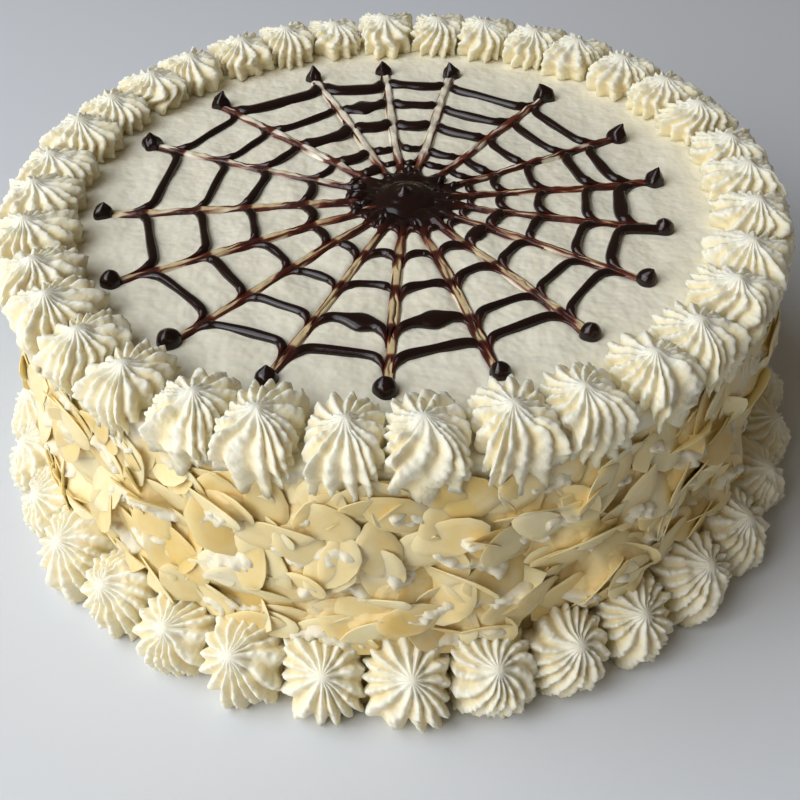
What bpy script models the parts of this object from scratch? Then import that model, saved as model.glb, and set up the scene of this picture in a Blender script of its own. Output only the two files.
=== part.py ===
"""Whipped cream layer cake with flaked almonds, two borders of piped stars and a chocolate web.

Metres, +Z up, resting on z = 0, its axis on the Z axis and its front towards -Y.
"""

from math import cos, pi, radians, sin, sqrt, tan, tau
from random import Random

import bmesh
import bpy
from mathutils import Matrix, Vector

# Cake body
BODY_RADIUS = 0.1185
BODY_HEIGHT = 0.0885
BODY_SEGMENTS = 72
RIM_BEVEL = 0.001
SIDE_WAVE = 0.0006
SKIN_GAP = 0.0004

# Top border of piped stars, which lean over the rim
TOP_STARS = 35
TOP_STAR_FIRST = radians(264.5)
TOP_STAR_DRIFT = radians(1.6)
TOP_STAR_DRIFT_AT = radians(45.0)
TOP_STAR_JITTER = radians(0.9)
TOP_TIP_RADIUS = 0.1115
TOP_TIP_HEIGHT = 0.0100
TOP_REACH_IN = 0.0150
TOP_REACH_OUT = 0.0172
TOP_INNERMOST = 0.0953
TOP_HALF_WIDTH = 0.0106
TOP_OVERHANG = 0.0036

# Bottom border of piped stars, squeezed into the corner under the side
BASE_STARS = 34
BASE_STAR_FIRST = radians(259.4)
BASE_CENTRE_RADIUS = 0.1220
BASE_CENTRE_HEIGHT = 0.0060
BASE_STAR_RADIUS = 0.0127
BASE_STAR_HEIGHT = 0.0168
BASE_STAR_TILT = radians(38.0)
BASE_FOOT_RISE = 1.77

# What every star shares
STAR_RIDGES = 12
RIDGE_OUT = 1.05
VALLEY_IN = 0.90
BELLY_AT = 0.60
STAR_SPACING_GAP = 0.00017
STAR_UNEVENNESS = 0.06
STAR_TWIST = radians(9.0)

# Chocolate web
HUB_X = 0.0045
HUB_Y = -0.0015
HUB_RADIUS = 0.0112
HUB_HEIGHT = 0.0052
HUB_TUFTS = 11
RING_RADII = (0.0190, 0.0303, 0.0458, 0.0615, 0.0753)
RING_CENTRES = ((0.0060, 0.0010), (0.0035, -0.0013), (0.0009, -0.0006), (0.0006, -0.0024), (-0.0023, -0.0010))
RING_BEAD = 0.0016
RING_SINK = 0.0003
RING_PULL = 0.0040
SPOKE_DEGREES = (4, 25, 51, 77, 94, 111, 135, 156, 182, 204, 225, 245, 265, 285, 305, 326, 345)
DROP_CIRCLE_RADIUS = 0.0880
DROP_CIRCLE_X = -0.0033
DROP_CIRCLE_Y = -0.0023
DROP_RADIUS = 0.0038
DROP_HEIGHT = 0.0062

# Flaked almonds on the side
FLAKE_ROWS = (0.0330, 0.0500, 0.0660)
FLAKES_PER_ROW = 30
FLAKE_LENGTH = 0.0210
FLAKE_WIDTH = 0.0125
FLAKE_THICKNESS = 0.0013
FLAKE_SIDES = 8
FLAKE_LOWEST = 0.0222
FLAKE_HIGHEST = 0.0755
FLAKE_MOST_LEAN = radians(20.0)

SEED = 47


def clear_scene():
    """Remove every object, so that the script starts from an empty scene."""
    for item in list(bpy.data.objects):
        bpy.data.objects.remove(item, do_unlink=True)


def new_collection(name):
    """Make a collection under the scene's own."""
    group = bpy.data.collections.new(name)
    bpy.context.scene.collection.children.link(group)
    return group


def principled(name, colour, roughness, metallic=0.0):
    """Make a Principled material of one colour."""
    material = bpy.data.materials.new(name)
    material.use_nodes = True
    shader = material.node_tree.nodes["Principled BSDF"]
    shader.inputs["Base Color"].default_value = (*colour, 1.0)
    shader.inputs["Roughness"].default_value = roughness
    shader.inputs["Metallic"].default_value = metallic
    material.diffuse_color = (*colour, 1.0)
    return material


def object_from(name, mesh_builder, group, material):
    """Put a finished bmesh into a named object, faces outward."""
    bmesh.ops.recalc_face_normals(mesh_builder, faces=mesh_builder.faces)
    mesh = bpy.data.meshes.new(name)
    mesh_builder.to_mesh(mesh)
    mesh_builder.free()
    mesh.materials.append(material)
    mesh.shade_smooth()
    mesh.set_sharp_from_angle(angle=radians(35.0))
    item = bpy.data.objects.new(name, mesh)
    group.objects.link(item)
    return item


def polar(radius, along, height, azimuth):
    """A point given by its radius, its offset along the tangent and its height, at an azimuth."""
    outward = Vector((cos(azimuth), sin(azimuth), 0.0))
    tangent = Vector((-sin(azimuth), cos(azimuth), 0.0))
    return outward * radius + tangent * along + Vector((0.0, 0.0, height))


# Piped stars


def ridge_factor(index):
    """Longer on a ridge and shorter in the valley beside it."""
    return RIDGE_OUT if index % 2 == 0 else VALLEY_IN


def keep_in_sector(radius, along, lower, upper):
    """Hold a star inside the wedge between its neighbours, less a thin gap."""
    least = radius * tan(lower) + STAR_SPACING_GAP
    most = radius * tan(upper) - STAR_SPACING_GAP
    return max(least, min(most, along))


def star_mesh(foot, belly, tip, heel):
    """A pleated dome from a coarse sphere: a foot ring, a belly ring, a tip and a heel under it.

    foot and belly take a ridge's index and its angle and return a point.
    """
    builder = bmesh.new()
    bmesh.ops.create_uvsphere(builder, u_segments=2 * STAR_RIDGES, v_segments=3, radius=1.0)
    for vertex in builder.verts:
        height = vertex.co.z
        if height > 0.9:
            vertex.co = tip
        elif height < -0.9:
            vertex.co = heel
        else:
            angle = Vector((1.0, 0.0)).angle_signed(vertex.co.xy, 0.0)
            index = round(-angle / (pi / STAR_RIDGES)) % (2 * STAR_RIDGES)
            turn = index * pi / STAR_RIDGES
            vertex.co = belly(index, turn) if height > 0.0 else foot(index, turn)
    return builder


def top_star_azimuths(rng):
    """Evenly piped, drifting round the rim as a hand does."""
    angles = []
    for number in range(TOP_STARS):
        even = TOP_STAR_FIRST + number * tau / TOP_STARS
        drift = TOP_STAR_DRIFT * cos(even - TOP_STAR_DRIFT_AT)
        angles.append(even + drift + TOP_STAR_JITTER * rng.uniform(-1.0, 1.0))
    return angles


def sector_limits(angles, number):
    """The half-way angles to the neighbours on both sides, measured from this star."""
    here = angles[number]
    before = angles[number - 1]
    after = angles[(number + 1) % len(angles)]
    lower = -(((here - before) % tau) / 2.0)
    upper = ((after - here) % tau) / 2.0
    return lower, upper


def top_star(name, azimuth, limits, size, group, material):
    """A star on the rim: short ridges inward, long ones that flow over the edge and down the side."""
    skin_radius = BODY_RADIUS + SIDE_WAVE + SKIN_GAP
    skin_height = BODY_HEIGHT + SKIN_GAP
    tip_height = skin_height + TOP_TIP_HEIGHT * size
    corner_snap = 0.0028

    def reach(index, turn):
        forward = TOP_REACH_OUT if cos(turn) > 0.0 else TOP_REACH_IN
        blend = (abs(cos(turn)) / forward) ** 2.3 + (abs(sin(turn)) / TOP_HALF_WIDTH) ** 2.3
        length = size * ridge_factor(index) * blend ** (-1.0 / 2.3)
        return min(length, TOP_TIP_RADIUS - TOP_INNERMOST) if cos(turn) < -0.7 else length

    def over_rim(arc):
        if arc <= skin_radius:
            return arc, skin_height
        return skin_radius, skin_height - (arc - skin_radius)

    def foot(index, turn):
        arc = TOP_TIP_RADIUS + reach(index, turn) * cos(turn)
        if abs(arc - skin_radius) < corner_snap:
            arc = skin_radius
        radius, height = over_rim(arc)
        along = keep_in_sector(radius, reach(index, turn) * sin(turn), *limits)
        return polar(radius, along, height, azimuth)

    def belly(index, turn):
        arc = TOP_TIP_RADIUS + reach(index, turn) * cos(turn)
        widest = min(arc, skin_radius + TOP_OVERHANG)
        radius = TOP_TIP_RADIUS + (widest - TOP_TIP_RADIUS) * sin(BELLY_AT * pi / 2.0)
        drop = (tip_height - over_rim(arc)[1]) * (1.0 - cos(BELLY_AT * pi / 2.0))
        along = reach(index, turn) * sin(turn) * sin(BELLY_AT * pi / 2.0)
        along = keep_in_sector(radius, along, *limits)
        return polar(radius, along, tip_height - drop, azimuth)

    tip = polar(TOP_TIP_RADIUS, 0.0, tip_height, azimuth)
    heel = polar(skin_radius, 0.0, skin_height, azimuth)
    return object_from(name, star_mesh(foot, belly, tip, heel), group, material)


def base_star_mesh(azimuth, limits, size, twist):
    """A star in the corner under the side, leaning outward, its foot on the floor and the wall."""
    wall = BODY_RADIUS + SIDE_WAVE + SKIN_GAP
    lean_out = Vector((sin(BASE_STAR_TILT), cos(BASE_STAR_TILT)))
    down_out = Vector((cos(BASE_STAR_TILT), -sin(BASE_STAR_TILT)))
    centre = Vector((BASE_CENTRE_RADIUS, BASE_CENTRE_HEIGHT))

    def place(index, turn, share, rise):
        reach = BASE_STAR_RADIUS * size * ridge_factor(index) * share
        flat = centre + down_out * (reach * cos(turn)) + lean_out * (BASE_STAR_HEIGHT * size * rise)
        return flat, reach * sin(turn)

    def foot(index, turn):
        flat, along = place(index, turn + twist, 1.0, 0.0)
        height = max(0.0, (flat.y - BASE_CENTRE_HEIGHT) * BASE_FOOT_RISE)
        radius = max(wall, flat.x)
        return polar(radius, keep_in_sector(radius, along, *limits), height, azimuth)

    def belly(index, turn):
        flat, along = place(index, turn + twist, sin(BELLY_AT * pi / 2.0), cos(BELLY_AT * pi / 2.0))
        radius = max(wall + 0.0006, flat.x)
        along = keep_in_sector(radius, along, *limits)
        return polar(radius, along, max(0.0015, flat.y), azimuth)

    peak = centre + lean_out * (BASE_STAR_HEIGHT * size)
    tip = polar(peak.x, 0.0, peak.y, azimuth)
    heel = polar(wall, 0.0, 0.0, azimuth)
    return star_mesh(foot, belly, tip, heel)


# Joining


def union_into(target, pieces, solver):
    """Join the pieces of a collection into the target with one Boolean, then remove them."""
    modifier = target.modifiers.new("join", "BOOLEAN")
    modifier.operation = "UNION"
    modifier.operand_type = "COLLECTION"
    modifier.collection = pieces
    modifier.solver = solver
    joined = bpy.data.meshes.new_from_object(target.evaluated_get(bpy.context.evaluated_depsgraph_get()))
    target.modifiers.clear()
    target.data = joined
    for item in list(pieces.objects):
        bpy.data.objects.remove(item, do_unlink=True)


def keep_largest_shell(item):
    """Drop loose scraps and fill sealed hollows by keeping only the largest connected shell."""
    builder = bmesh.new()
    builder.from_mesh(item.data)
    bmesh.ops.remove_doubles(builder, verts=builder.verts, dist=0.000001)
    bmesh.ops.dissolve_degenerate(builder, edges=builder.edges, dist=0.000001)
    unseen = set(builder.verts)
    shells = []
    while unseen:
        edge_of_shell = [unseen.pop()]
        shell = set(edge_of_shell)
        while edge_of_shell:
            vertex = edge_of_shell.pop()
            for edge in vertex.link_edges:
                other = edge.other_vert(vertex)
                if other in unseen:
                    unseen.remove(other)
                    shell.add(other)
                    edge_of_shell.append(other)
        shells.append(shell)
    largest = max(shells, key=len)
    scraps = [vertex for vertex in builder.verts if vertex not in largest]
    bmesh.ops.delete(builder, geom=scraps, context="VERTS")
    bmesh.ops.recalc_face_normals(builder, faces=builder.faces)
    builder.to_mesh(item.data)
    builder.free()
    item.data.shade_smooth()
    item.data.set_sharp_from_angle(angle=radians(35.0))


# Cake body with what is stuck to it


def body_mesh():
    """A solid drum with a slightly wavy side and a small bevel at its rim."""
    builder = bmesh.new()
    bmesh.ops.create_cone(
        builder,
        cap_ends=True,
        segments=BODY_SEGMENTS,
        radius1=BODY_RADIUS,
        radius2=BODY_RADIUS,
        depth=BODY_HEIGHT,
    )
    bmesh.ops.translate(builder, verts=builder.verts, vec=(0.0, 0.0, BODY_HEIGHT / 2.0))
    rim = [edge for edge in builder.edges if all(vertex.co.z > BODY_HEIGHT / 2.0 for vertex in edge.verts)]
    bmesh.ops.bevel(builder, geom=rim, offset=RIM_BEVEL, segments=1, affect="EDGES")
    for vertex in builder.verts:
        azimuth = Vector((1.0, 0.0)).angle_signed(vertex.co.xy, 0.0)
        wave = SIDE_WAVE * sin(5.0 * azimuth) * cos(2.0 * azimuth)
        scale = 1.0 + wave / BODY_RADIUS
        vertex.co.x *= scale
        vertex.co.y *= scale
    return builder


def drop_places():
    """The drops stand where each spoke from the hub meets a circle of their own."""
    hub = Vector((HUB_X, HUB_Y))
    from_centre = hub - Vector((DROP_CIRCLE_X, DROP_CIRCLE_Y))
    places = []
    for degrees in SPOKE_DEGREES:
        outward = Vector((cos(radians(degrees)), sin(radians(degrees))))
        along = from_centre.dot(outward)
        chord = along**2 - from_centre.length_squared + DROP_CIRCLE_RADIUS**2
        places.append(hub + outward * (sqrt(chord) - along))
    return places


def ring_point(ring, azimuth):
    """Each ring has a centre of its own, as it was piped by hand."""
    return Vector(RING_CENTRES[ring]) + Vector((cos(azimuth), sin(azimuth))) * RING_RADII[ring]


def ring_outline(ring):
    """One point in the middle of each sector, and one drawn outward at each spoke."""
    hub = Vector((HUB_X, HUB_Y))
    points = []
    for place in drop_places():
        outward = (place - hub).normalized()
        azimuth = Vector((1.0, 0.0)).angle_signed(outward, 0.0) * -1.0
        pull = RING_PULL * (0.4 + 0.6 * RING_RADII[ring] / RING_RADII[-1])
        points.append(ring_point(ring, azimuth) + outward * pull)
    middles = []
    for number, point in enumerate(points):
        following = points[(number + 1) % len(points)]
        middle = (point + following) / 2.0
        azimuth = Vector((1.0, 0.0)).angle_signed((middle - hub).normalized(), 0.0) * -1.0
        middles.append(ring_point(ring, azimuth))
    return [point for pair in zip(points, middles) for point in pair]


def ring_bead(ring, group, material):
    """A closed bead of chocolate, half sunk in the cream, made as a bevelled curve."""
    curve = bpy.data.curves.new("ring", "CURVE")
    curve.dimensions = "3D"
    curve.bevel_depth = RING_BEAD
    curve.bevel_resolution = 0
    outline = ring_outline(ring)
    spline = curve.splines.new("POLY")
    spline.points.add(len(outline) - 1)
    spline.use_cyclic_u = True
    for point, place in zip(spline.points, outline):
        point.co = (place.x, place.y, BODY_HEIGHT + RING_SINK, 1.0)
    tube = bpy.data.objects.new("ring", curve)
    group.objects.link(tube)
    mesh = bpy.data.meshes.new_from_object(tube.evaluated_get(bpy.context.evaluated_depsgraph_get()))
    bpy.data.objects.remove(tube, do_unlink=True)
    builder = bmesh.new()
    builder.from_mesh(mesh)
    bmesh.ops.remove_doubles(builder, verts=builder.verts, dist=0.00001)
    return object_from("ring", builder, group, material)


def chocolate_drop(place, size, group, material):
    """A small pointed drop on the cream."""
    builder = bmesh.new()
    bmesh.ops.create_uvsphere(builder, u_segments=8, v_segments=4, radius=1.0)
    for vertex in builder.verts:
        upright = vertex.co.z
        if upright > 0.9:
            height = DROP_HEIGHT * size
        elif upright > 0.3:
            height = DROP_HEIGHT * size * 0.58
        elif upright > -0.3:
            height = DROP_HEIGHT * size * 0.22
        else:
            height = -0.0015
        spread = DROP_RADIUS * size * (0.75 if upright > 0.3 else 1.0)
        vertex.co = Vector((place.x + vertex.co.x * spread, place.y + vertex.co.y * spread, BODY_HEIGHT + height))
    return object_from("drop", builder, group, material)


def almond_flake(azimuth, height, rng, group, material):
    """A thin slice of almond, pointed at one end, leaning out of the cream."""
    length = FLAKE_LENGTH * rng.uniform(0.85, 1.08)
    width = FLAKE_WIDTH * rng.uniform(0.85, 1.1)
    spin = radians(rng.uniform(-38.0, 38.0)) + (pi if rng.random() < 0.5 else 0.0)
    lean = radians(rng.uniform(8.0, 20.0)) * rng.choice((-1.0, 1.0))
    lean = max(-FLAKE_MOST_LEAN, min(FLAKE_MOST_LEAN, lean))
    nod = radians(rng.uniform(-14.0, 14.0))
    builder = bmesh.new()
    bmesh.ops.create_cone(
        builder,
        cap_ends=True,
        segments=FLAKE_SIDES,
        radius1=0.5,
        radius2=0.5,
        depth=FLAKE_THICKNESS,
    )
    for vertex in builder.verts:
        taper = 1.0 - 0.45 * max(0.0, vertex.co.x * 2.0) ** 2
        vertex.co.x *= length
        vertex.co.y *= width * taper
    in_plane = Matrix.Rotation(spin, 4, "Z")
    tipped = Matrix.Rotation(lean, 4, "Y") @ Matrix.Rotation(nod, 4, "X")
    upright = Matrix(((0.0, 0.0, 1.0, 0.0), (1.0, 0.0, 0.0, 0.0), (0.0, 1.0, 0.0, 0.0), (0.0, 0.0, 0.0, 1.0)))
    bmesh.ops.transform(builder, matrix=upright @ tipped @ in_plane, verts=builder.verts)
    lowest = min(vertex.co.z for vertex in builder.verts)
    highest = max(vertex.co.z for vertex in builder.verts)
    height = max(FLAKE_LOWEST - lowest, min(FLAKE_HIGHEST - highest, height))
    bmesh.ops.translate(builder, verts=builder.verts, vec=(BODY_RADIUS + 0.0009, 0.0, height))
    bmesh.ops.transform(builder, matrix=Matrix.Rotation(azimuth, 4, "Z"), verts=builder.verts)
    return object_from("flake", builder, group, material)


def build_cake(group, cream, chocolate, almond):
    """The solid cake with its web, drops and almonds fused on."""
    rng = Random(SEED)
    cake = object_from("cake", body_mesh(), group, cream)
    toppings = new_collection("toppings")
    for ring in range(len(RING_RADII)):
        ring_bead(ring, toppings, chocolate)
    for place in drop_places():
        chocolate_drop(place, rng.uniform(0.9, 1.1), toppings, chocolate)
    for row, row_height in enumerate(FLAKE_ROWS):
        for number in range(FLAKES_PER_ROW):
            azimuth = (number + 0.5 * (row % 2) + rng.uniform(-0.1, 0.1)) * tau / FLAKES_PER_ROW
            height = row_height + rng.uniform(-0.002, 0.002)
            almond_flake(azimuth, height, rng, toppings, almond)
    union_into(cake, toppings, "MANIFOLD")
    keep_largest_shell(cake)
    bpy.data.collections.remove(toppings)
    return cake


def build_hub(group, chocolate):
    """The poured mound in the middle of the web, with short tufts where the spokes were drawn."""
    builder = bmesh.new()
    bmesh.ops.create_uvsphere(builder, u_segments=2 * HUB_TUFTS, v_segments=4, radius=1.0)
    for vertex in builder.verts:
        upright = vertex.co.z
        azimuth = Vector((1.0, 0.0)).angle_signed(vertex.co.xy, 0.0) if abs(upright) < 0.9 else 0.0
        index = round(azimuth / (pi / HUB_TUFTS))
        tuft = 1.12 if index % 2 == 0 else 0.98
        if upright > 0.9:
            spread, height = 0.0, HUB_HEIGHT
        elif upright > 0.3:
            spread, height = 0.9, HUB_HEIGHT * 0.72
        elif upright > -0.3:
            spread, height = tuft, HUB_HEIGHT * 0.2
        elif upright > -0.9:
            spread, height = tuft * 1.12, 0.0
        else:
            spread, height = 0.0, 0.0
        flat = Vector((vertex.co.x, vertex.co.y))
        if flat.length > 1e-6:
            flat = flat.normalized() * (HUB_RADIUS * spread)
        vertex.co = Vector((HUB_X + flat.x, HUB_Y + flat.y, BODY_HEIGHT + 0.0003 + height))
    return object_from("web_hub", builder, group, chocolate)


def build_top_border(group, cream):
    """Each star of the top border is a node of its own."""
    rng = Random(SEED + 1)
    angles = top_star_azimuths(rng)
    for number in range(TOP_STARS):
        size = 1.0 + STAR_UNEVENNESS * rng.uniform(-1.0, 1.0)
        limits = sector_limits(angles, number)
        top_star(f"star_top_{number + 1:02d}", angles[number], limits, size, group, cream)


def build_base_border(group, cream):
    """The bottom border's stars, joined two by two where they touch."""
    rng = Random(SEED + 2)
    half_step = pi / BASE_STARS
    overlap = radians(1.5)
    for pair in range(BASE_STARS // 2):
        first = BASE_STAR_FIRST + 2 * pair * 2.0 * half_step
        second = first + 2.0 * half_step
        first_size = 1.0 + STAR_UNEVENNESS * rng.uniform(-0.6, 1.0)
        second_size = 1.0 + STAR_UNEVENNESS * rng.uniform(-0.6, 1.0)
        first_twist = STAR_TWIST * rng.uniform(-1.0, 1.0)
        second_twist = STAR_TWIST * rng.uniform(-1.0, 1.0)
        joined = new_collection("joined")
        left = base_star_mesh(first, (-half_step, half_step + overlap), first_size, first_twist)
        right = base_star_mesh(second, (-half_step - overlap, half_step), second_size, second_twist)
        star = object_from(f"star_base_{pair + 1:02d}", left, group, cream)
        object_from("second", right, joined, cream)
        union_into(star, joined, "EXACT")
        keep_largest_shell(star)
        bpy.data.collections.remove(joined)


def main():
    """Build every node."""
    clear_scene()
    group = new_collection("almond_web_cake")
    cream = principled("whipped cream", (0.86, 0.80, 0.62), 0.55)
    almond = principled("flaked almond", (0.80, 0.64, 0.33), 0.5)
    chocolate = principled("dark chocolate", (0.03, 0.012, 0.01), 0.2)
    build_cake(group, cream, chocolate, almond)
    build_hub(group, chocolate)
    build_top_border(group, cream)
    build_base_border(group, cream)


main()
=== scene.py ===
"""The looks of a whipped cream layer cake with flaked almonds, two borders of stars and a chocolate web.

Metres, +Z up, the front towards -Y, in the same place as the solids it is built around.
"""

from functools import partial
from math import cos, pi, radians, sin, tau

import bpy
import numpy as np
from bpy.props import FloatProperty, FloatVectorProperty, IntProperty, PointerProperty
from mathutils import Matrix, Vector


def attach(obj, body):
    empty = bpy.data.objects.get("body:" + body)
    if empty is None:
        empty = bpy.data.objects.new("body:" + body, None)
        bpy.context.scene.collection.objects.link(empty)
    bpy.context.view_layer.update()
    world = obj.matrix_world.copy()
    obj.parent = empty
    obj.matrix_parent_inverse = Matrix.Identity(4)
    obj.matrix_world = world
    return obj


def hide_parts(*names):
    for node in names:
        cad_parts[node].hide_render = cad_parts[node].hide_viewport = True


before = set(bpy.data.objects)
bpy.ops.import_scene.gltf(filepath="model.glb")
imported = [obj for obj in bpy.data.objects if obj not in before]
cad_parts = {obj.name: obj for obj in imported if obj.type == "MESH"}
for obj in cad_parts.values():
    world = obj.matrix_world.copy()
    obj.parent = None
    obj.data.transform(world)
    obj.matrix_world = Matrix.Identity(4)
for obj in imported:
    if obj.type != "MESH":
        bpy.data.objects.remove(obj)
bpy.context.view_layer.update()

bl_info = {
    "name": "Almond web cake",
    "version": (1, 0, 0),
    "blender": (4, 5, 0),
    "location": "View3D > Sidebar > Cake",
    "description": "Whipped cream cake with flaked almonds, piped stars and a chocolate web",
    "category": "Add Mesh",
}

MM = 0.001

# Cake body, as in the solids
BODY_RADIUS = 118.5 * MM
BODY_HEIGHT = 88.5 * MM
SKIN_RADIUS = 119.5 * MM
SKIN_HEIGHT = 88.9 * MM

# Top stars, as in the solids
TOP_STARS = 35
TOP_TIP_RADIUS = 111.5 * MM
TOP_TIP_HEIGHT = 10.0 * MM
TOP_REACH_IN = 15.0 * MM
TOP_REACH_OUT = 17.2 * MM
TOP_HALF_WIDTH = 10.6 * MM
TOP_OVERHANG = 3.6 * MM
TOP_INNERMOST = 95.3 * MM

# Bottom stars, as in the solids, two to a node, but half a millimetre wider for their ragged ends
BASE_STARS = 34
BASE_STAR_FIRST = radians(259.4)
BASE_CENTRE_RADIUS = 122.0 * MM
BASE_CENTRE_HEIGHT = 6.0 * MM
BASE_STAR_RADIUS = 13.2 * MM
BASE_STAR_HEIGHT = 16.8 * MM
BASE_STAR_TILT = radians(38.0)

# The small peak that the nozzle leaves as it lifts off
NUB_HEIGHT = 1.6 * MM
NUB_WIDTH = 2.9 * MM

# Chocolate web, as in the solids, but the mound half a millimetre wider
HUB = np.array((4.5 * MM, -1.5 * MM))
HUB_RADIUS = 11.7 * MM
HUB_LUMPS = 16
RING_RADII = (19.0 * MM, 30.3 * MM, 45.8 * MM, 61.5 * MM, 75.3 * MM)
RING_CENTRES = np.array(((6.0, 1.0), (3.5, -1.3), (0.9, -0.6), (0.6, -2.4), (-2.3, -1.0))) * MM
SPOKE_DEGREES = (4, 25, 51, 77, 94, 111, 135, 156, 182, 204, 225, 245, 265, 285, 305, 326, 345)
DROP_CIRCLE = np.array((-3.3 * MM, -2.3 * MM))
DROP_CIRCLE_RADIUS = 88.0 * MM

# Bars of the web that were piped thicker: ring, first spoke of the bar, how many times thicker
THICK_BARS = {
    (4, 94): 1.9, (4, 111): 1.8, (4, 77): 1.7, (4, 51): 1.25, (4, 4): 1.15, (4, 345): 1.4, (4, 326): 1.3,
    (3, 94): 1.3, (3, 111): 1.15, (3, 77): 1.4, (3, 51): 1.2, (3, 4): 1.15, (2, 94): 2.0, (2, 111): 1.9,
    (2, 77): 1.6, (2, 51): 1.2, (1, 111): 1.4, (1, 94): 1.2, (1, 305): 1.7, (1, 326): 1.3, (0, 111): 1.4,
}
# Bars with a leaf-shaped blob in the middle
BLOB_BARS = {(3, 94): 2.6, (3, 245): 2.5, (3, 265): 2.9}
# Bars whose second end was piped on, outward to the drop
DRAWN_OUT_BARS = {(4, 326): 14.0}

# Camera, in millimetres: where it stands, and its right and up directions
CAMERA_PLACE = (0.0, -287.25, 273.53)
CAMERA_RIGHT = (0.999504, -0.022844, -0.021693)
CAMERA_UP = (0.031466, 0.690518, 0.722631)
CAMERA_LENS = 47.22

# Form of the stars: powers of their curve in front and behind, of the rim's ovals and of the rows' spacing,
# and how far neighbours run into each other
STAR_FULLNESS = 0.66
BACK_STAR_FULLNESS = 0.54
OVAL_POWER = 2.6
ROWS_TO_TIP = 1.3
OVERLAP = 0.5 * MM

# Almonds: the map's lowest level and how many it has, how many of 100 points a slice is pressed past, and the
# most that it may stand out under the stars
STACK_LOW = 10.0 * MM
STACK_LEVELS = 80
PRESSED_PAST = 64
UNDER_STARS_ROOM = 2.6 * MM

# Cream on the side: how far round a place the map is averaged, in millimetres, its depth under that, how far
# its patches rise over it, and the fillet at the foot
EVENING = 3
COVER_DEPTH = 1.15 * MM
PATCH_RISE = 1.75 * MM
FOOT_FILLET = 10.5 * MM

# Detail of the surfaces
STAR_COLUMNS_PER_RIDGE = 8
STAR_ROWS = 38
SIDE_COLUMNS = 880
SIDE_ROWS = 100
FLAKE_CORNERS = 16
BAR_ROWS = 56
BAR_COLUMNS = 15
SPOKE_ROWS = 190
SPOKE_COLUMNS = 19
DROP_COLUMNS = 28
DROP_ROWS = 17
DOME_COLUMNS = 120
DOME_ROWS = 33
SKIRT_COLUMNS = 272
SKIRT_ROWS = 26
LUMP_COLUMNS = 14
LUMP_ROWS = 7
SEED = 47


# Colour and shapes


def srgb(code):
    """The linear colour of an sRGB hex code such as f4e9c8."""
    values = (int(code[place:place + 2], 16) / 255.0 for place in (0, 2, 4))
    return tuple(v / 12.92 if v <= 0.04045 else ((v + 0.055) / 1.055) ** 2.4 for v in values)


def settings(group):
    """The settings of one group, such as stars."""
    return getattr(bpy.context.scene.almond_web_cake, group)


def smooth_step(values, low, high):
    """0 below low, 1 above high, with an S-shaped rise between them."""
    share = np.clip((values - low) / (high - low), 0.0, 1.0)
    return share * share * (3.0 - 2.0 * share)


def bell(values, width):
    """1 at 0 and falling off on both sides: e to the power of minus the square of values over width."""
    return np.exp(-((values / width) ** 2))


def wave(values, rng):
    """A sine wave that starts anywhere."""
    return np.sin(values + rng.uniform(0.0, tau))


def ripple(points, wavelength, seed, waves=14):
    """Smooth unevenness of about -1 to 1: a sum of plane waves of about one length, in random directions."""
    rng = np.random.default_rng(seed)
    directions = rng.normal(size=(waves, 3))
    directions /= np.linalg.norm(directions, axis=1, keepdims=True)
    lengths = wavelength * rng.uniform(0.7, 1.5, waves)
    phases = rng.uniform(0.0, tau, waves)
    total = np.zeros(points.shape[:-1])
    for direction, length, phase in zip(directions, lengths, phases):
        total += np.sin(points @ direction * (tau / length) + phase)
    return total / np.sqrt(waves)


def turns(columns):
    """Angles all the way round, one to a column."""
    return np.arange(columns)[None, :] * (tau / columns)


def shares(rows):
    """Shares of the way from the middle to the edge, one to a row."""
    return (np.arange(1, rows + 1) / rows)[:, None]


def around(radius, along, height, azimuth):
    """Points given by radius, offset along the tangent and height, turned to an azimuth round the cake."""
    x = radius * np.cos(azimuth) - along * np.sin(azimuth)
    y = radius * np.sin(azimuth) + along * np.cos(azimuth)
    return np.stack(np.broadcast_arrays(x, y, height), axis=-1)


def closed_form(rows, first_pole, last_pole):
    """Vertices, quads and triangles of a surface whose rows are closed loops, shut by a point at each end.

    Where the faces come out pointing inwards, which a negative volume shows, they are turned round.
    """
    count, columns = rows.shape[:2]
    vertices = np.concatenate([[first_pole], rows.reshape(-1, 3), [last_pole]])
    start = 1 + np.arange(count)[:, None] * columns
    here = start + np.arange(columns)
    beside = start + (np.arange(columns) + 1) % columns
    quads = np.stack([here[:-1], here[1:], beside[1:], beside[:-1]], axis=-1).reshape(-1, 4)
    top_fan = np.stack([np.zeros(columns, int), here[0], beside[0]], axis=-1)
    bottom_fan = np.stack([np.full(columns, len(vertices) - 1), beside[-1], here[-1]], axis=-1)
    triangles = np.concatenate([top_fan, bottom_fan])
    halves = np.concatenate([quads[:, :3], quads[:, (0, 2, 3)], triangles])
    a, b, c = (vertices[halves[:, corner]] for corner in range(3))
    if np.einsum("ij,ij->", a, np.cross(b, c)) < 0.0:
        quads = quads[:, ::-1]
        triangles = triangles[:, ::-1]
    return vertices, quads, triangles


def with_poles(values, first=0.0, last=0.0):
    """A value for each vertex of a closed form, in the order that closed_form gives them."""
    return np.concatenate([[first], np.asarray(values).ravel(), [last]])


def join(parts):
    """Several forms as one. A part is a form and its attributes, by name, with a value for each vertex."""
    forms = [part[0] for part in parts]
    offsets = np.cumsum([0] + [len(form[0]) for form in forms[:-1]])
    vertices = np.concatenate([form[0] for form in forms])
    quads = np.concatenate([form[1] + offset for form, offset in zip(forms, offsets)])
    triangles = np.concatenate([form[2] + offset for form, offset in zip(forms, offsets)])
    attributes = {key: np.concatenate([part[1][key] for part in parts]) for key in parts[0][1]}
    return (vertices, quads, triangles), attributes


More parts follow.
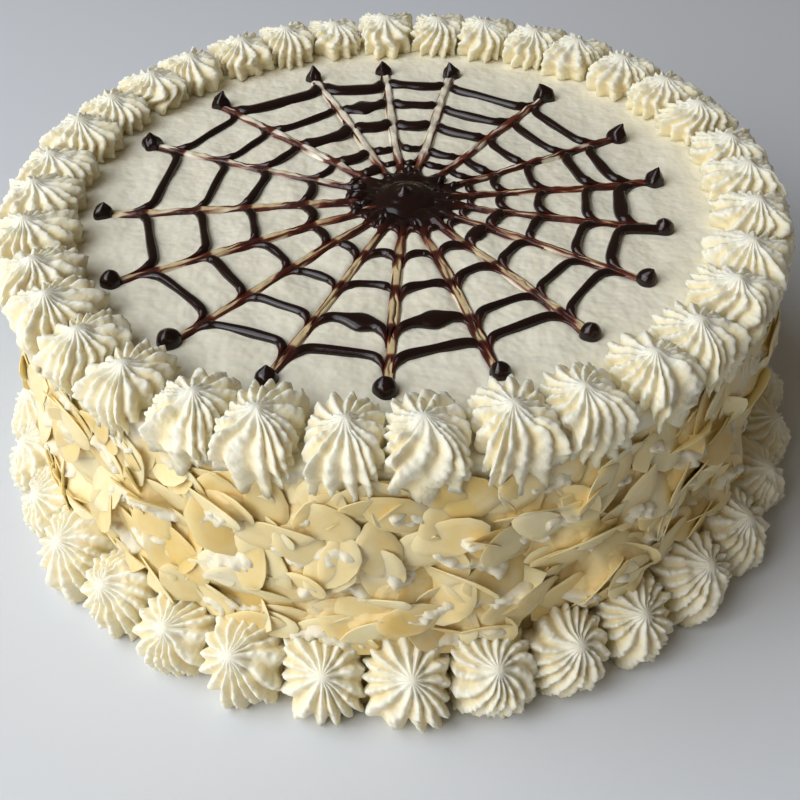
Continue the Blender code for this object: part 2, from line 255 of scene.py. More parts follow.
def add_piece(name, part, material, nodes=(), sharp_degrees=None):
    """Put a part into the scene as a piece that rides on the cake, in its material and for its nodes."""
    (vertices, quads, triangles), attributes = part
    mesh = bpy.data.meshes.new(name)
    mesh.vertices.add(len(vertices))
    mesh.vertices.foreach_set("co", vertices.astype(np.float32).ravel())
    corners = np.concatenate([quads.ravel(), triangles.ravel()]).astype(np.int32)
    mesh.loops.add(len(corners))
    mesh.loops.foreach_set("vertex_index", corners)
    starts = np.concatenate([np.arange(len(quads)) * 4, len(quads) * 4 + np.arange(len(triangles)) * 3])
    mesh.polygons.add(len(starts))
    mesh.polygons.foreach_set("loop_start", starts.astype(np.int32))
    mesh.update(calc_edges=True)
    mesh.validate()
    for key, values in attributes.items():
        layer = mesh.attributes.new(key, "FLOAT", "POINT")
        layer.data.foreach_set("value", np.asarray(values, np.float32).ravel())
    mesh.shade_smooth()
    if sharp_degrees is not None:
        mesh.set_sharp_from_angle(angle=radians(sharp_degrees))
    mesh.materials.append(material)
    piece = bpy.data.objects.new(name, mesh)
    bpy.context.scene.collection.objects.link(piece)
    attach(piece, "root")
    if nodes:
        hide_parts(*nodes)


# Materials


def add_node(tree, kind, inputs=(), **options):
    """Add one node with its settings, and a value or a link for each of its inputs."""
    node = tree.nodes.new(kind)
    for key, value in options.items():
        setattr(node, key, value)
    for key, value in dict(inputs).items():
        if isinstance(value, bpy.types.NodeSocket):
            tree.links.new(value, node.inputs[key])
        else:
            node.inputs[key].default_value = value
    return node


def material_of(name, recipe):
    """The material of this name, made by its recipe when it is first asked for.

    The recipe gets the way to add a node and the place on the piece. It gives a base colour, the colours
    laid over it one after another, each with its amount, the relief with its height and strength, and the
    shader's own values.
    """
    material = bpy.data.materials.get(name)
    if material:
        return material
    material = bpy.data.materials.new(name)
    material.use_nodes = True
    tree = material.node_tree
    node = partial(add_node, tree)
    place = node("ShaderNodeTexCoord").outputs["Object"]
    base, layers, (relief, height, strength), values = recipe(node, place)
    shader = tree.nodes["Principled BSDF"]
    shader.inputs["Base Color"].default_value = (*base, 1.0)
    below = (*base, 1.0)
    for amount, colour in layers:
        above = colour if isinstance(colour, bpy.types.NodeSocket) else (*colour, 1.0)
        mix = node("ShaderNodeMix", {"Factor": amount, "A": below, "B": above}, data_type="RGBA")
        below = mix.outputs["Result"]
        tree.links.new(below, shader.inputs["Base Color"])
    bump = node("ShaderNodeBump", {"Height": relief, "Distance": height, "Strength": strength})
    tree.links.new(bump.outputs["Normal"], shader.inputs["Normal"])
    for key, value in values.items():
        shader.inputs[key].default_value = value
    return material


def piped_cream(node, place):
    """Whipped cream pushed through a star nozzle: white on its ridges, buttery painted shade in its grooves.

    Its fine grain is the beaten foam, drawn 1.3 mm wide to show, and light goes a little way in.
    """
    looks = settings("cream")
    # The groove attribute is how much painted warm shade the cream gets, in its grooves and at its thin ends.
    groove = node("ShaderNodeAttribute", attribute_name="groove").outputs["Fac"]
    blotch = node("ShaderNodeTexNoise", {"Vector": place, "Scale": 120.0, "Detail": 3.0}).outputs["Fac"]
    patchy = node("ShaderNodeMapRange", {"Value": blotch, 1: 0.3, 2: 0.7, 3: 0.55, 4: 1.0})
    depth = node("ShaderNodeMath", {0: groove, 1: patchy.outputs["Result"]}, operation="MULTIPLY")
    foam = node("ShaderNodeTexNoise", {"Vector": place, "Scale": 750.0, "Detail": 4.0}).outputs["Fac"]
    layers = [(depth.outputs["Value"], looks.groove_shade_colour)]
    return looks.ridge_colour, layers, (foam, 0.5 * MM, looks.foam_relief), {
        "Roughness": 0.55,
        "IOR": 1.36,
        "Subsurface Weight": 0.6,
        "Subsurface Radius": (1.0, 0.85, 0.6),
        "Subsurface Scale": 2.0 * MM,
    }


def spread_cream(node, place):
    """Whipped cream spread with a palette knife: ivory, a little greyer, with leathery pimples 3.5 mm apart.

    Between the almonds, where the piece says that it lies sunk, it is yellowed by painted warm shade.
    """
    looks = settings("cream")
    clouds = node("ShaderNodeTexNoise", {"Vector": place, "Scale": 45.0, "Detail": 3.0}).outputs["Fac"]
    pimples = node("ShaderNodeTexNoise", {"Vector": place, "Scale": 290.0, "Detail": 1.0}).outputs["Fac"]
    # This attribute marks the cream sunk between the almonds, where the painted warm shade goes.
    painted_gap_shade = node("ShaderNodeAttribute", attribute_name="painted_gap_shade").outputs["Fac"]
    layers = [(clouds, looks.coat_shade_colour), (painted_gap_shade, looks.painted_gap_shade_colour)]
    return looks.coat_colour, layers, (pimples, 1.1 * MM, looks.pimple_relief), {
        "Roughness": 0.5,
        "IOR": 1.36,
        "Subsurface Weight": 0.3,
        "Subsurface Radius": (1.0, 0.75, 0.4),
        "Subsurface Scale": 1.6 * MM,
    }


def sliced_almond(node, place):
    """Blanched almond in thin slices: straw to light honey, paler at the rim, satin, a little see-through.

    Each slice has its own tone, mottled in patches 9 mm apart, and wiped cream leaves a thin film on some.
    """
    looks = settings("almonds")
    tone = node("ShaderNodeAttribute", attribute_name="tone").outputs["Fac"]
    rim = node("ShaderNodeAttribute", attribute_name="rim").outputs["Fac"]
    grain = node("ShaderNodeTexNoise", {"Vector": place, "Scale": 260.0, "Detail": 3.0}).outputs["Fac"]
    patches = node("ShaderNodeTexNoise", {"Vector": place, "Scale": 110.0, "Detail": 4.0}).outputs["Fac"]
    mottle = node("ShaderNodeMapRange", {"Value": patches, 1: 0.3, 2: 0.7, 3: -0.22, 4: 0.22})
    sum_of_both = {0: tone, 1: mottle.outputs["Result"]}
    shade = node("ShaderNodeMath", sum_of_both, operation="ADD", use_clamp=True).outputs["Value"]
    wiped = node("ShaderNodeTexNoise", {"Vector": place, "Scale": 75.0, "Detail": 6.0}).outputs["Fac"]
    film = node("ShaderNodeMapRange", {"Value": wiped, 1: 0.56, 2: 0.7, 3: 0.0, 4: 0.5}).outputs["Result"]
    layers = [(shade, looks.honey_colour), (rim, looks.rim_colour), (film, looks.film_colour)]
    return looks.pale_colour, layers, (grain, 0.3 * MM, 0.25), {
        "Roughness": 0.42,
        "IOR": 1.45,
        "Subsurface Weight": 0.25,
        "Subsurface Radius": (1.0, 0.85, 0.5),
        "Subsurface Scale": 1.0 * MM,
    }


def dark_chocolate(node, place):
    """Melted dark chocolate piped and set: nearly black brown, redder where it is thin, with a wet gloss."""
    looks = settings("chocolate")
    thin = node("ShaderNodeAttribute", attribute_name="thin").outputs["Fac"]
    clouds = node("ShaderNodeTexNoise", {"Vector": place, "Scale": 300.0, "Detail": 2.0}).outputs["Fac"]
    values = {"Roughness": 0.17, "IOR": 1.5, "Specular IOR Level": 0.38}
    return looks.thick_colour, [(thin, looks.thin_colour)], (clouds, 0.25 * MM, 0.2), values


def dragged_chocolate(node, place):
    """Cream and chocolate dragged along by a skewer: tan in the furrow, red-brown streaks at its sides.

    The smear goes from rubbed to thick brown as it gets stronger, and a crack shows the dark below.
    """
    looks = settings("chocolate")
    smear = node("ShaderNodeAttribute", attribute_name="smear").outputs["Fac"]
    furrow = node("ShaderNodeAttribute", attribute_name="furrow_depth").outputs["Fac"]
    crack = node("ShaderNodeAttribute", attribute_name="crack").outputs["Fac"]
    streaks = node("ShaderNodeTexNoise", {"Vector": place, "Scale": 700.0, "Detail": 3.0}).outputs["Fac"]
    strong = node("ShaderNodeMapRange", {"Value": smear, 1: 0.35, 2: 1.0}).outputs["Result"]
    browns = {"Factor": strong, "A": (*looks.smear_colour, 1.0), "B": (*looks.thin_colour, 1.0)}
    rubbed = node("ShaderNodeMix", browns, data_type="RGBA").outputs["Result"]
    amount = node("ShaderNodeMapRange", {"Value": smear, 1: 0.05, 2: 0.5}).outputs["Result"]
    layers = [(furrow, looks.furrow_colour), (amount, rubbed), (crack, looks.thick_colour)]
    return settings("cream").coat_colour, layers, (streaks, 0.4 * MM, 0.5), {"Roughness": 0.35, "IOR": 1.45}


def pale_floor(node, place):
    """A matt painted table top: pale cool grey, with hardly any grain."""
    grain = node("ShaderNodeTexNoise", {"Vector": place, "Scale": 60.0, "Detail": 2.0}).outputs["Fac"]
    return settings("stage").floor_colour, [], (grain, 0.2 * MM, 0.1), {"Roughness": 0.55}


# Where things are, from the solids


def node_points(name):
    """The vertices of a solid, as an array."""
    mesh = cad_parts[name].data
    points = np.empty(len(mesh.vertices) * 3, np.float32)
    mesh.vertices.foreach_get("co", points)
    return points.reshape(-1, 3).astype(float)


def peak_of(points):
    """Azimuth and height of the highest point."""
    peak = points[np.argmax(points[:, 2])]
    return np.arctan2(peak[1], peak[0]), peak[2]


def spoke_directions():
    """Unit vectors of the spokes, seen from the hub."""
    angles = np.radians(SPOKE_DEGREES)
    return np.stack([np.cos(angles), np.sin(angles)], axis=-1)


def spoke_lengths():
    """From the hub to where each spoke meets the circle that the drops stand on."""
    outward = spoke_directions()
    from_centre = HUB - DROP_CIRCLE
    along = outward @ from_centre
    return np.sqrt(along**2 - from_centre @ from_centre + DROP_CIRCLE_RADIUS**2) - along


def ring_distance(ring, angle):
    """How far a ring is from the hub at an angle, as each ring has its own centre."""
    shift = RING_CENTRES[ring] - HUB
    return RING_RADII[ring] + shift[0] * np.cos(angle) + shift[1] * np.sin(angle)


# Piped stars


def nozzle_ridges(turn, share, rng):
    """1 on a ridge and 0 in a groove: a raised cosine round the star.

    Its spacing is uneven, and it swings and twists as it goes down, more on some sides than on others.
    """
    looks = settings("stars")
    bend = 0.12 * wave(2.0 * turn, rng) + 0.08 * wave(3.0 * turn, rng)
    side = 0.6 + 0.4 * wave(turn, rng)
    sway = looks.sway * side * wave(share * rng.uniform(3.0, 7.0), rng)
    twist = rng.uniform(-0.3, 1.0) * looks.twist * share
    phase = looks.ridges * (turn + rng.uniform(0.0, tau) + bend + sway * smooth_step(share, 0.1, 0.6) + twist)
    return (0.5 + 0.5 * np.cos(phase)) ** looks.ridge_sharpness


def ridge_lengths(turn, rng):
    """Uneven lengths of the ridges round a star, about 1: a random length each, joined up smoothly."""
    looks = settings("stars")
    places = np.arange(looks.ridges) * (tau / looks.ridges)
    return np.interp(turn, places, 1.0 + rng.normal(0.0, looks.uneven_lengths, looks.ridges), period=tau)


def between_neighbours(along, radius, lower, upper):
    """Press offsets along the tangent between the rays to both neighbours, gently at first and then hard."""
    limit = np.where(along > 0.0, radius * np.tan(upper) + OVERLAP, -(radius * np.tan(lower) - OVERLAP))
    return along / (1.0 + np.abs(along / limit) ** 7) ** (1.0 / 7.0)


def groove_into(points, core, ridge, share, deep, ragged):
    """Draw the grooves in towards the star's core, most near its foot, and roughen the cream.

    deep scales the depth of the grooves, and ragged the tears near the foot.
    """
    looks = settings("stars")
    depth = looks.groove_depth * smooth_step(share, 0.0, 0.16)
    depth = depth + looks.end_depth * smooth_step(share, 0.62, 1.0)
    scale = 1.03 - deep * depth * (1.0 - ridge)
    out = points - core
    away = out / np.maximum(np.linalg.norm(out, axis=-1, keepdims=True), 1e-6)
    swells = 0.35 * MM * ripple(points, 5.0 * MM, SEED + 5)
    tears = (0.2 + ragged * share) * MM * ripple(points, 1.9 * MM, SEED + 6, 24) * (0.3 + ridge)
    uneven = (swells + tears) * smooth_step(share, 0.0, 0.1)
    return core + out * scale[..., None] + away * uneven[..., None]


def star_parameters():
    """Turns round the star and shares of the way from its tip to its foot."""
    turn = turns(settings("stars").ridges * STAR_COLUMNS_PER_RIDGE)
    return np.broadcast_arrays(turn, shares(STAR_ROWS) ** ROWS_TO_TIP)


def dome(share, fullness):
    """Width and height of a star from tip to foot: sine and cosine, each to the power of its fullness."""
    return np.sin(share * pi / 2.0) ** fullness, np.clip(np.cos(share * pi / 2.0), 0.0, 1.0) ** fullness


def painted_star_shade(ridge, share):
    """Painted warm shade of a star: fully in the grooves from the nub down, and half so at the thin ends."""
    return np.maximum((1.0 - ridge) * smooth_step(share, 0.04, 0.3), 0.55 * smooth_step(share, 0.55, 0.95))


def top_star(azimuth, tip_height, lower, upper, rng):
    """A star on the rim. Each column is a quarter of an oval from tip to foot, fuller than an ellipse.

    The foot is a rounded oval on the cake's skin, whose outer half is bent over the rim and down the side.
    The cream tucks in under its outer ends, and under its inner ones too.
    """
    turn, share = star_parameters()
    size = (tip_height - SKIN_HEIGHT) / TOP_TIP_HEIGHT
    ridge = nozzle_ridges(turn, share, rng)
    forward = np.where(np.cos(turn) > 0.0, TOP_REACH_OUT, TOP_REACH_IN)
    oval = (np.abs(np.cos(turn)) / forward) ** OVAL_POWER
    oval = oval + (np.abs(np.sin(turn)) / TOP_HALF_WIDTH) ** OVAL_POWER
    flare = 1.0 + 0.07 * (ridge - 0.5) * share
    reach = size * ridge_lengths(turn, rng) * oval ** (-1.0 / OVAL_POWER) * flare
    reach = np.where(np.cos(turn) < -0.5, np.minimum(reach, 1.04 * (TOP_TIP_RADIUS - TOP_INNERMOST)), reach)
    arc = TOP_TIP_RADIUS + reach * np.cos(turn)
    widest = np.minimum(arc, SKIN_RADIUS + TOP_OVERHANG)
    foot_height = SKIN_HEIGHT - np.maximum(arc - SKIN_RADIUS, 0.0)
    behind = 0.5 + 0.5 * sin(azimuth)
    swell, rise = dome(share, STAR_FULLNESS + (BACK_STAR_FULLNESS - STAR_FULLNESS) * behind)
    tuck = 2.2 * MM * smooth_step(share, 0.75, 1.0) * smooth_step(arc, SKIN_RADIUS, SKIN_RADIUS + 4.0 * MM)
    inner_tuck = 2.3 * MM * smooth_step(share, 0.55, 1.0) * smooth_step(-np.cos(turn), 0.0, 0.5)
    radius = TOP_TIP_RADIUS + (widest - TOP_TIP_RADIUS) * swell - tuck + inner_tuck
    nub = NUB_HEIGHT * bell(reach * swell, NUB_WIDTH)
    height = foot_height + (tip_height - 0.8 * NUB_HEIGHT - foot_height) * rise + nub
    along = between_neighbours(reach * np.sin(turn) * swell, radius, lower, upper)
    lean = rng.uniform(-1.0, 1.0, 2) * 0.8 * MM * (1.0 - share[..., None]) ** 2
    core = around(TOP_TIP_RADIUS + 1.0 * MM, 0.0, SKIN_HEIGHT - 1.5 * MM, azimuth)
    points = around(radius + lean[..., 0], along + lean[..., 1], height, azimuth)
    rows = groove_into(points, core, ridge, share, 1.0, 0.12)
    heel = around(SKIN_RADIUS - 4.0 * MM, 0.0, SKIN_HEIGHT - 4.0 * MM, azimuth)
    form = closed_form(rows, rows[0].mean(axis=0) + (0.0, 0.0, 0.1 * MM), heel)
    # The groove attribute is the painted warm shade in the grooves and at the thin ends.
    return form, {"groove": with_poles(painted_star_shade(ridge, share), 0.0, 1.0)}


def base_star(azimuth, size, lower, upper, rng):
    """A star under the side: half an oval about an axis that leans outward, cut by the wall and the floor."""
    turn, share = star_parameters()
    ridge = nozzle_ridges(turn, share, rng)
    flare = 1.0 + 0.1 * (ridge - 0.5) * share
    reach = BASE_STAR_RADIUS * size * ridge_lengths(turn, rng) ** 1.7 * flare
    swell, rise = dome(share, STAR_FULLNESS)
    nub = NUB_HEIGHT * bell(reach * swell, NUB_WIDTH)
    up = (BASE_STAR_HEIGHT * size - 0.8 * NUB_HEIGHT) * rise + nub
    down = reach * np.cos(turn) * swell
    radius = BASE_CENTRE_RADIUS + down * cos(BASE_STAR_TILT) + up * sin(BASE_STAR_TILT)
    height = BASE_CENTRE_HEIGHT - down * sin(BASE_STAR_TILT) + up * cos(BASE_STAR_TILT)
    lean = rng.uniform(-1.6, 1.6) * MM * (1.0 - share) ** 1.5
    along = between_neighbours(lean + reach * np.sin(turn) * swell, radius, lower, upper)
    core = around(BASE_CENTRE_RADIUS, 0.0, BASE_CENTRE_HEIGHT - 1.0 * MM, azimuth)
    rows = groove_into(around(radius, along, height, azimuth), core, ridge, share, 0.8, 0.24)
    out = np.hypot(rows[..., 0], rows[..., 1])
    rows[..., :2] *= (np.maximum(out, BODY_RADIUS - 1.5 * MM) / out)[..., None]
    rows[..., 2] = np.maximum(rows[..., 2], 0.15 * MM)
    heel = around(BODY_RADIUS - 2.0 * MM, 0.0, 1.0 * MM, azimuth)
    form = closed_form(rows, rows[0].mean(axis=0), heel)
    # The groove attribute is the painted warm shade in the grooves and at the thin ends.
    return form, {"groove": with_poles(painted_star_shade(ridge, share), 0.0, 1.0)}


class CAKE_OT_top_stars(bpy.types.Operator):
    """Pipe the stars on the rim, one piece for each solid, each with its peak where the solid has it"""

    bl_idname = "cake.top_stars"
    bl_label = "Top stars"

    def execute(self, context):
        peaks = [peak_of(node_points(f"star_top_{number + 1:02d}")) for number in range(TOP_STARS)]
        angles = np.array([peak[0] for peak in peaks])
        gaps = (np.roll(angles, -1) - angles) % tau
        for number, (azimuth, tip_height) in enumerate(peaks):
            rng = np.random.default_rng(SEED + 100 + number)
            part = top_star(azimuth, tip_height, -gaps[number - 1] / 2.0, gaps[number] / 2.0, rng)
            node = f"star_top_{number + 1:02d}"
            cream = material_of("piped whipped cream", piped_cream)
            add_piece(f"cream_{node}", part, cream, (node,))
        return {"FINISHED"}


class CAKE_OT_base_stars(bpy.types.Operator):
    """Pipe the stars round the foot, two to a piece as in the solids"""

    bl_idname = "cake.base_stars"
    bl_label = "Bottom stars"

    def execute(self, context):
        step = tau / BASE_STARS
        for pair in range(BASE_STARS // 2):
            node = f"star_base_{pair + 1:02d}"
            points = node_points(node)
            azimuths = np.arctan2(points[:, 1], points[:, 0])
            parts = []
            for half in range(2):
                azimuth = BASE_STAR_FIRST + (2 * pair + half) * step
                near = np.cos(azimuths - azimuth) > cos(step / 4.0)
                rise = peak_of(points[near])[1] - BASE_CENTRE_HEIGHT
                size = rise / (BASE_STAR_HEIGHT * cos(BASE_STAR_TILT))
                rng = np.random.default_rng(SEED + 200 + 2 * pair + half)
                parts.append(base_star(azimuth, size, -step / 2.0, step / 2.0, rng))
            cream = material_of("piped whipped cream", piped_cream)
            add_piece(f"cream_{node}", join(parts), cream, (node,))
        return {"FINISHED"}


# Spread cream


def web_columns():
    """Angles from the hub, packed close together at each spoke and wider apart between them."""
    per_sector = settings("cream").columns_per_sector
    even = np.arange(per_sector) / per_sector
    packed = even - 0.115 * np.sin(tau * even)
    spokes = np.radians(SPOKE_DEGREES)
    widths = (np.roll(spokes, -1) - spokes) % tau
    return (spokes[:, None] + widths[:, None] * packed).ravel()


def furrow_depth(angle, distance):
    """How deep the skewer's furrows cut into the top: a bell-shaped channel along each spoke to its drop."""
    spokes = np.radians(SPOKE_DEGREES)
    off = (angle[..., None] - spokes + pi) % tau - pi
    nearest = np.argmin(np.abs(off), axis=-1)
    sideways = distance * np.sin(np.take_along_axis(off, nearest[..., None], axis=-1)[..., 0])
    inside = smooth_step(spoke_lengths()[nearest] - distance, -4.0 * MM, 2.0 * MM)
    return 1.1 * MM * bell(sideways, 1.5 * MM) * inside


def top_coat():
    """The level top: rays from the hub to the rim, a small rounded edge, and a flat underside out of sight.

    Its height is the furrows plus two scales of unevenness that the palette knife left.
    """
    angle = web_columns()[None, :]
    toward = np.cos(angle) * HUB[0] + np.sin(angle) * HUB[1]
    edge = BODY_RADIUS - 1.2 * MM
    rim = np.sqrt(toward**2 - HUB @ HUB + edge**2) - toward
    distance = shares(settings("cream").top_rows) * rim
    x = HUB[0] + distance * np.cos(angle)
    y = HUB[1] + distance * np.sin(angle)
    flat = np.stack([x, y, np.zeros_like(x)], axis=-1)
    uneven = 0.28 * MM * ripple(flat, 16.0 * MM, SEED + 1) + 0.07 * MM * ripple(flat, 6.0 * MM, SEED + 2, 40)
    height = BODY_HEIGHT + uneven - furrow_depth(np.broadcast_to(angle, x.shape), distance)
    surface = np.stack([x, y, height], axis=-1)
    outer = surface[-1]
    reach = np.hypot(outer[:, 0], outer[:, 1])[:, None]
    turned = [surface]
    for out, down in ((0.6, 0.25), (1.1, 0.9), (1.2, 6.0), (-1.0, 7.0)):
        ring = outer.copy()
        ring[:, :2] *= (reach + out * MM) / reach
        ring[:, 2] -= down * MM
        turned.append(ring[None])
    rows = np.concatenate(turned)
    return closed_form(rows, (*HUB, rows[0, :, 2].mean()), (0.0, 0.0, BODY_HEIGHT - 7.0 * MM)), {}


def side_unevenness(angle, height):
    """How far the side's cream stands out or in from the drum, in metres: lumps, and sideways knife marks."""
    points = around(BODY_RADIUS, 0.0, height, angle)
    marks = ripple(points * (0.35, 0.35, 1.0), 7.0 * MM, SEED + 4)
    return 0.9 * MM * ripple(points, 24.0 * MM, SEED + 3) + 0.35 * MM * marks


def side_coat(stack):
    """The cream between the almonds: it fills the gaps up to a little below them, and in places covers them.

    Its radius is the map of the almonds, averaged over a few millimetres, less its depth below them, plus
    rough patches that rise over the almonds and a fillet behind the stars of the foot. It carries painted
    warm shade all over, where it lies sunk between the almonds, except on the patches.
    """
    angle = turns(SIDE_COLUMNS)
    height = np.linspace(BODY_HEIGHT - 2.0 * MM, 0.3 * MM, SIDE_ROWS)[:, None]
    evened = stack.copy()
    for axis in (0, 1):
        shifted = [np.roll(evened, step, axis) for step in range(-EVENING, EVENING + 1)]
        evened = np.mean(shifted, axis=0)
    column = np.round(angle / tau * len(stack)).astype(int) % len(stack)
    row = np.clip(np.round((height - STACK_LOW) / MM).astype(int), EVENING, stack.shape[1] - EVENING - 1)
    spots = around(BODY_RADIUS, 0.0, height, angle)
    patches = smooth_step(ripple(spots * (1.0, 1.0, 1.4), 17.0 * MM, SEED + 7), 0.5, 0.8)
    fine = 0.6 * MM * ripple(spots, 5.0 * MM, SEED + 8) + 0.45 * MM * ripple(spots, 2.4 * MM, SEED + 9, 24)
    out = evened[column, row] - COVER_DEPTH + PATCH_RISE * patches + fine * (0.15 + 0.85 * patches)
    ends = smooth_step(height, 4.0 * MM, 18.0 * MM) * (1.0 - smooth_step(height, 76.0 * MM, 86.0 * MM))
    fillet = FOOT_FILLET * (1.0 - smooth_step(height, 4.0 * MM, 18.0 * MM))
    rows = around(BODY_RADIUS - 0.3 * MM + np.maximum(out, 0.0) * ends + fillet, 0.0, height, angle)
    form = closed_form(rows, (0.0, 0.0, BODY_HEIGHT - 3.0 * MM), (0.0, 0.0, 0.3 * MM))
    # The cream sunk between the almonds gets painted warm shade, and the patches over them get little of it.
    return form, {"painted_gap_shade": with_poles(1.0 - 0.85 * smooth_step(patches, 0.2, 0.8))}


class CAKE_OT_top_coat(bpy.types.Operator):
    """Spread the cream on the top, with the furrows of the web"""

    bl_idname = "cake.top_coat"
    bl_label = "Cream on the top"

    def execute(self, context):
        cream = material_of("spread whipped cream", spread_cream)
        add_piece("cream_top", top_coat(), cream, ("cake",))
        return {"FINISHED"}


# Almonds


def flake_outlines(count, rng):
    """Each slice's outline: an oval with one end drawn to a point, and on some a piece broken off."""
    turn = turns(FLAKE_CORNERS)
    looks = settings("almonds")
    length = looks.length * rng.uniform(0.72, 1.08, (count, 1))
    width = looks.width * rng.uniform(0.72, 1.1, (count, 1))
    x = 0.5 * length * np.cos(turn)
    taper = 1.0 - rng.uniform(0.25, 0.65, (count, 1)) * np.clip(np.cos(turn), 0.0, 1.0) ** 1.6
    y = 0.5 * width * np.sin(turn) * taper
    chipped = 1.0 + rng.normal(0.0, 0.022, (count, FLAKE_CORNERS))
    x, y = x * chipped, y * chipped
    broken = rng.random((count, 1)) < looks.broken_share
    cut = length * rng.uniform(-0.1, 0.3, (count, 1))
    slant = rng.uniform(-0.6, 0.6, (count, 1))
    x = np.where(broken, np.minimum(x, cut + slant * y), x)
    return np.stack([x, y], axis=-1)


def lay_flakes():
    """Press the slices on one after another, each on what is already there.

    The side is unrolled into a map of how far it stands out, on a 1 mm grid. A slice takes the plane that
    best fits the map under it, comes out until most of it is clear, and is then added to the map. Returns the
    outlines, where each slice lies, the map, and the random numbers to go on with.
    """
    looks = settings("almonds")
    rng = np.random.default_rng(SEED + 30)
    count = looks.count
    outlines = flake_outlines(count, rng)
    cells = int(round(tau * BODY_RADIUS / MM))
    cell_angle = np.arange(cells)[:, None] * (tau / cells)
    cell_level = STACK_LOW + np.arange(STACK_LEVELS)[None, :] * MM
    stack = side_unevenness(cell_angle, cell_level)
    fill = np.linspace(-0.5, 0.5, 25)
    spread_x, spread_y = np.meshgrid(fill, fill)
    inside = spread_x**2 + spread_y**2 < 0.235
    spread_x, spread_y = spread_x[inside], spread_y[inside]
    order_azimuth = rng.permutation((np.arange(count) + rng.uniform(0.0, 1.0, count)) * (tau / count))
    placed = []
    for number in range(count):
        outline = outlines[number]
        spin = rng.uniform(0.0, tau)
        size = np.ptp(outline, axis=0)
        middle = (outline.max(axis=0) + outline.min(axis=0)) / 2.0
        p, q = spread_x * size[0] + middle[0], spread_y * size[1] + middle[1]
        span = 0.5 * (abs(sin(spin)) * size[0] + abs(cos(spin)) * size[1])
        level = np.clip(rng.uniform(looks.lowest, looks.highest), looks.lowest + span, looks.highest - span)
        arc = order_azimuth[number] * BODY_RADIUS
        column = np.round((arc + p * cos(spin) - q * sin(spin)) / MM).astype(int) % cells
        row = np.round((level - STACK_LOW + p * sin(spin) + q * cos(spin)) / MM).astype(int)
        row = np.clip(row, 0, STACK_LEVELS - 1)
        under = stack[column, row]
        fit = np.linalg.lstsq(np.stack([p, q, np.ones_like(p)], axis=-1), under, rcond=None)[0]
        tilt_p, tilt_q = np.clip(fit[:2] + rng.normal(0.0, looks.unevenness, 2), -0.45, 0.45)
        if rng.random() < looks.standing_share:
            tilt_q = rng.choice((-1.0, 1.0)) * rng.uniform(0.5, 0.9)
        rest = np.percentile(under - tilt_p * p - tilt_q * q, PRESSED_PAST)
        under_stars = float(smooth_step(level + span, 72.0 * MM, 84.0 * MM))
        room = looks.most_build_up - (looks.most_build_up - UNDER_STARS_ROOM) * under_stars
        rest = min(rest, room - np.max(np.abs(tilt_p * p + tilt_q * q)))
        plane = rest + tilt_p * p + tilt_q * q
        np.maximum.at(stack, (column, row), plane + looks.thickness)
        placed.append((arc, level, spin, rest, tilt_p, tilt_q))
    return outlines, np.array(placed), stack, rng


def flake_mesh(outlines, placed, rng):
    """Slices as shallow dishes with 16 corners: a fan and a band in front, an edge, and a fan behind."""
    looks = settings("almonds")
    count = len(outlines)
    arc, level, spin, rest, tilt_p, tilt_q = (placed[:, column, None, None] for column in range(6))
    centre = outlines.mean(axis=1, keepdims=True)
    rings = np.stack([centre + (outlines - centre) * size for size in (0.62, 0.97, 1.0, 0.97)], axis=1)
    front = np.array((1.0, 0.94, 0.5, 0.0))[None, :, None] * looks.thickness
    flat = np.concatenate([centre[:, None], rings.reshape(count, 1, -1, 2), centre[:, None]], axis=2)
    p, q = flat[..., 0], flat[..., 1]
    depth = np.broadcast_to(front, (count, 4, FLAKE_CORNERS)).reshape(count, 1, -1)
    depth = np.concatenate([np.full((count, 1, 1), looks.thickness), depth, np.zeros((count, 1, 1))], axis=2)
    dish = rng.uniform(-1.0, 1.0, (count, 1, 1)) * looks.dish
    twist = rng.uniform(-1.0, 1.0, (count, 1, 1)) * looks.dish
    out = rest + tilt_p * p + tilt_q * q + depth
    out = out + dish * (p / (10.0 * MM)) ** 2 + twist * p * q / (60.0 * MM**2)
    sideways = arc + p * np.cos(spin) - q * np.sin(spin)
    height = level + p * np.sin(spin) + q * np.cos(spin)
    points = around(BODY_RADIUS + out, 0.0, height, sideways / BODY_RADIUS)[:, 0]
    template = closed_form(points[0, 1:-1].reshape(4, FLAKE_CORNERS, 3), points[0, 0], points[0, -1])
    per_flake = points.shape[1]
    offsets = np.arange(count)[:, None, None] * per_flake
    quads = (template[1][None] + offsets).reshape(-1, 4)
    triangles = (template[2][None] + offsets).reshape(-1, 3)
    rim = np.repeat((0.0, 0.25, 0.8, 0.8), FLAKE_CORNERS)
    rim = np.tile(np.concatenate([[0.0], rim, [0.0]]), count)
    tone = np.repeat(rng.beta(1.6, 1.9, count), per_flake)
    return (points.reshape(-1, 3), quads, triangles), {"rim": rim, "tone": tone}


class CAKE_OT_side(bpy.types.Operator):
    """Press the almond slices on the side and spread the cream that shows between them"""

    bl_idname = "cake.side"
    bl_label = "Almonds and side cream"

    def execute(self, context):
        outlines, placed, stack, rng = lay_flakes()
        flakes = flake_mesh(outlines, placed, rng)
        almond = material_of("sliced blanched almond", sliced_almond)
        add_piece("almond_flakes", flakes, almond, ("cake",), 50.0)
        cream = material_of("spread whipped cream", spread_cream)
        add_piece("cream_side", side_coat(stack), cream, ("cake",))
        return {"FINISHED"}


# Chocolate web


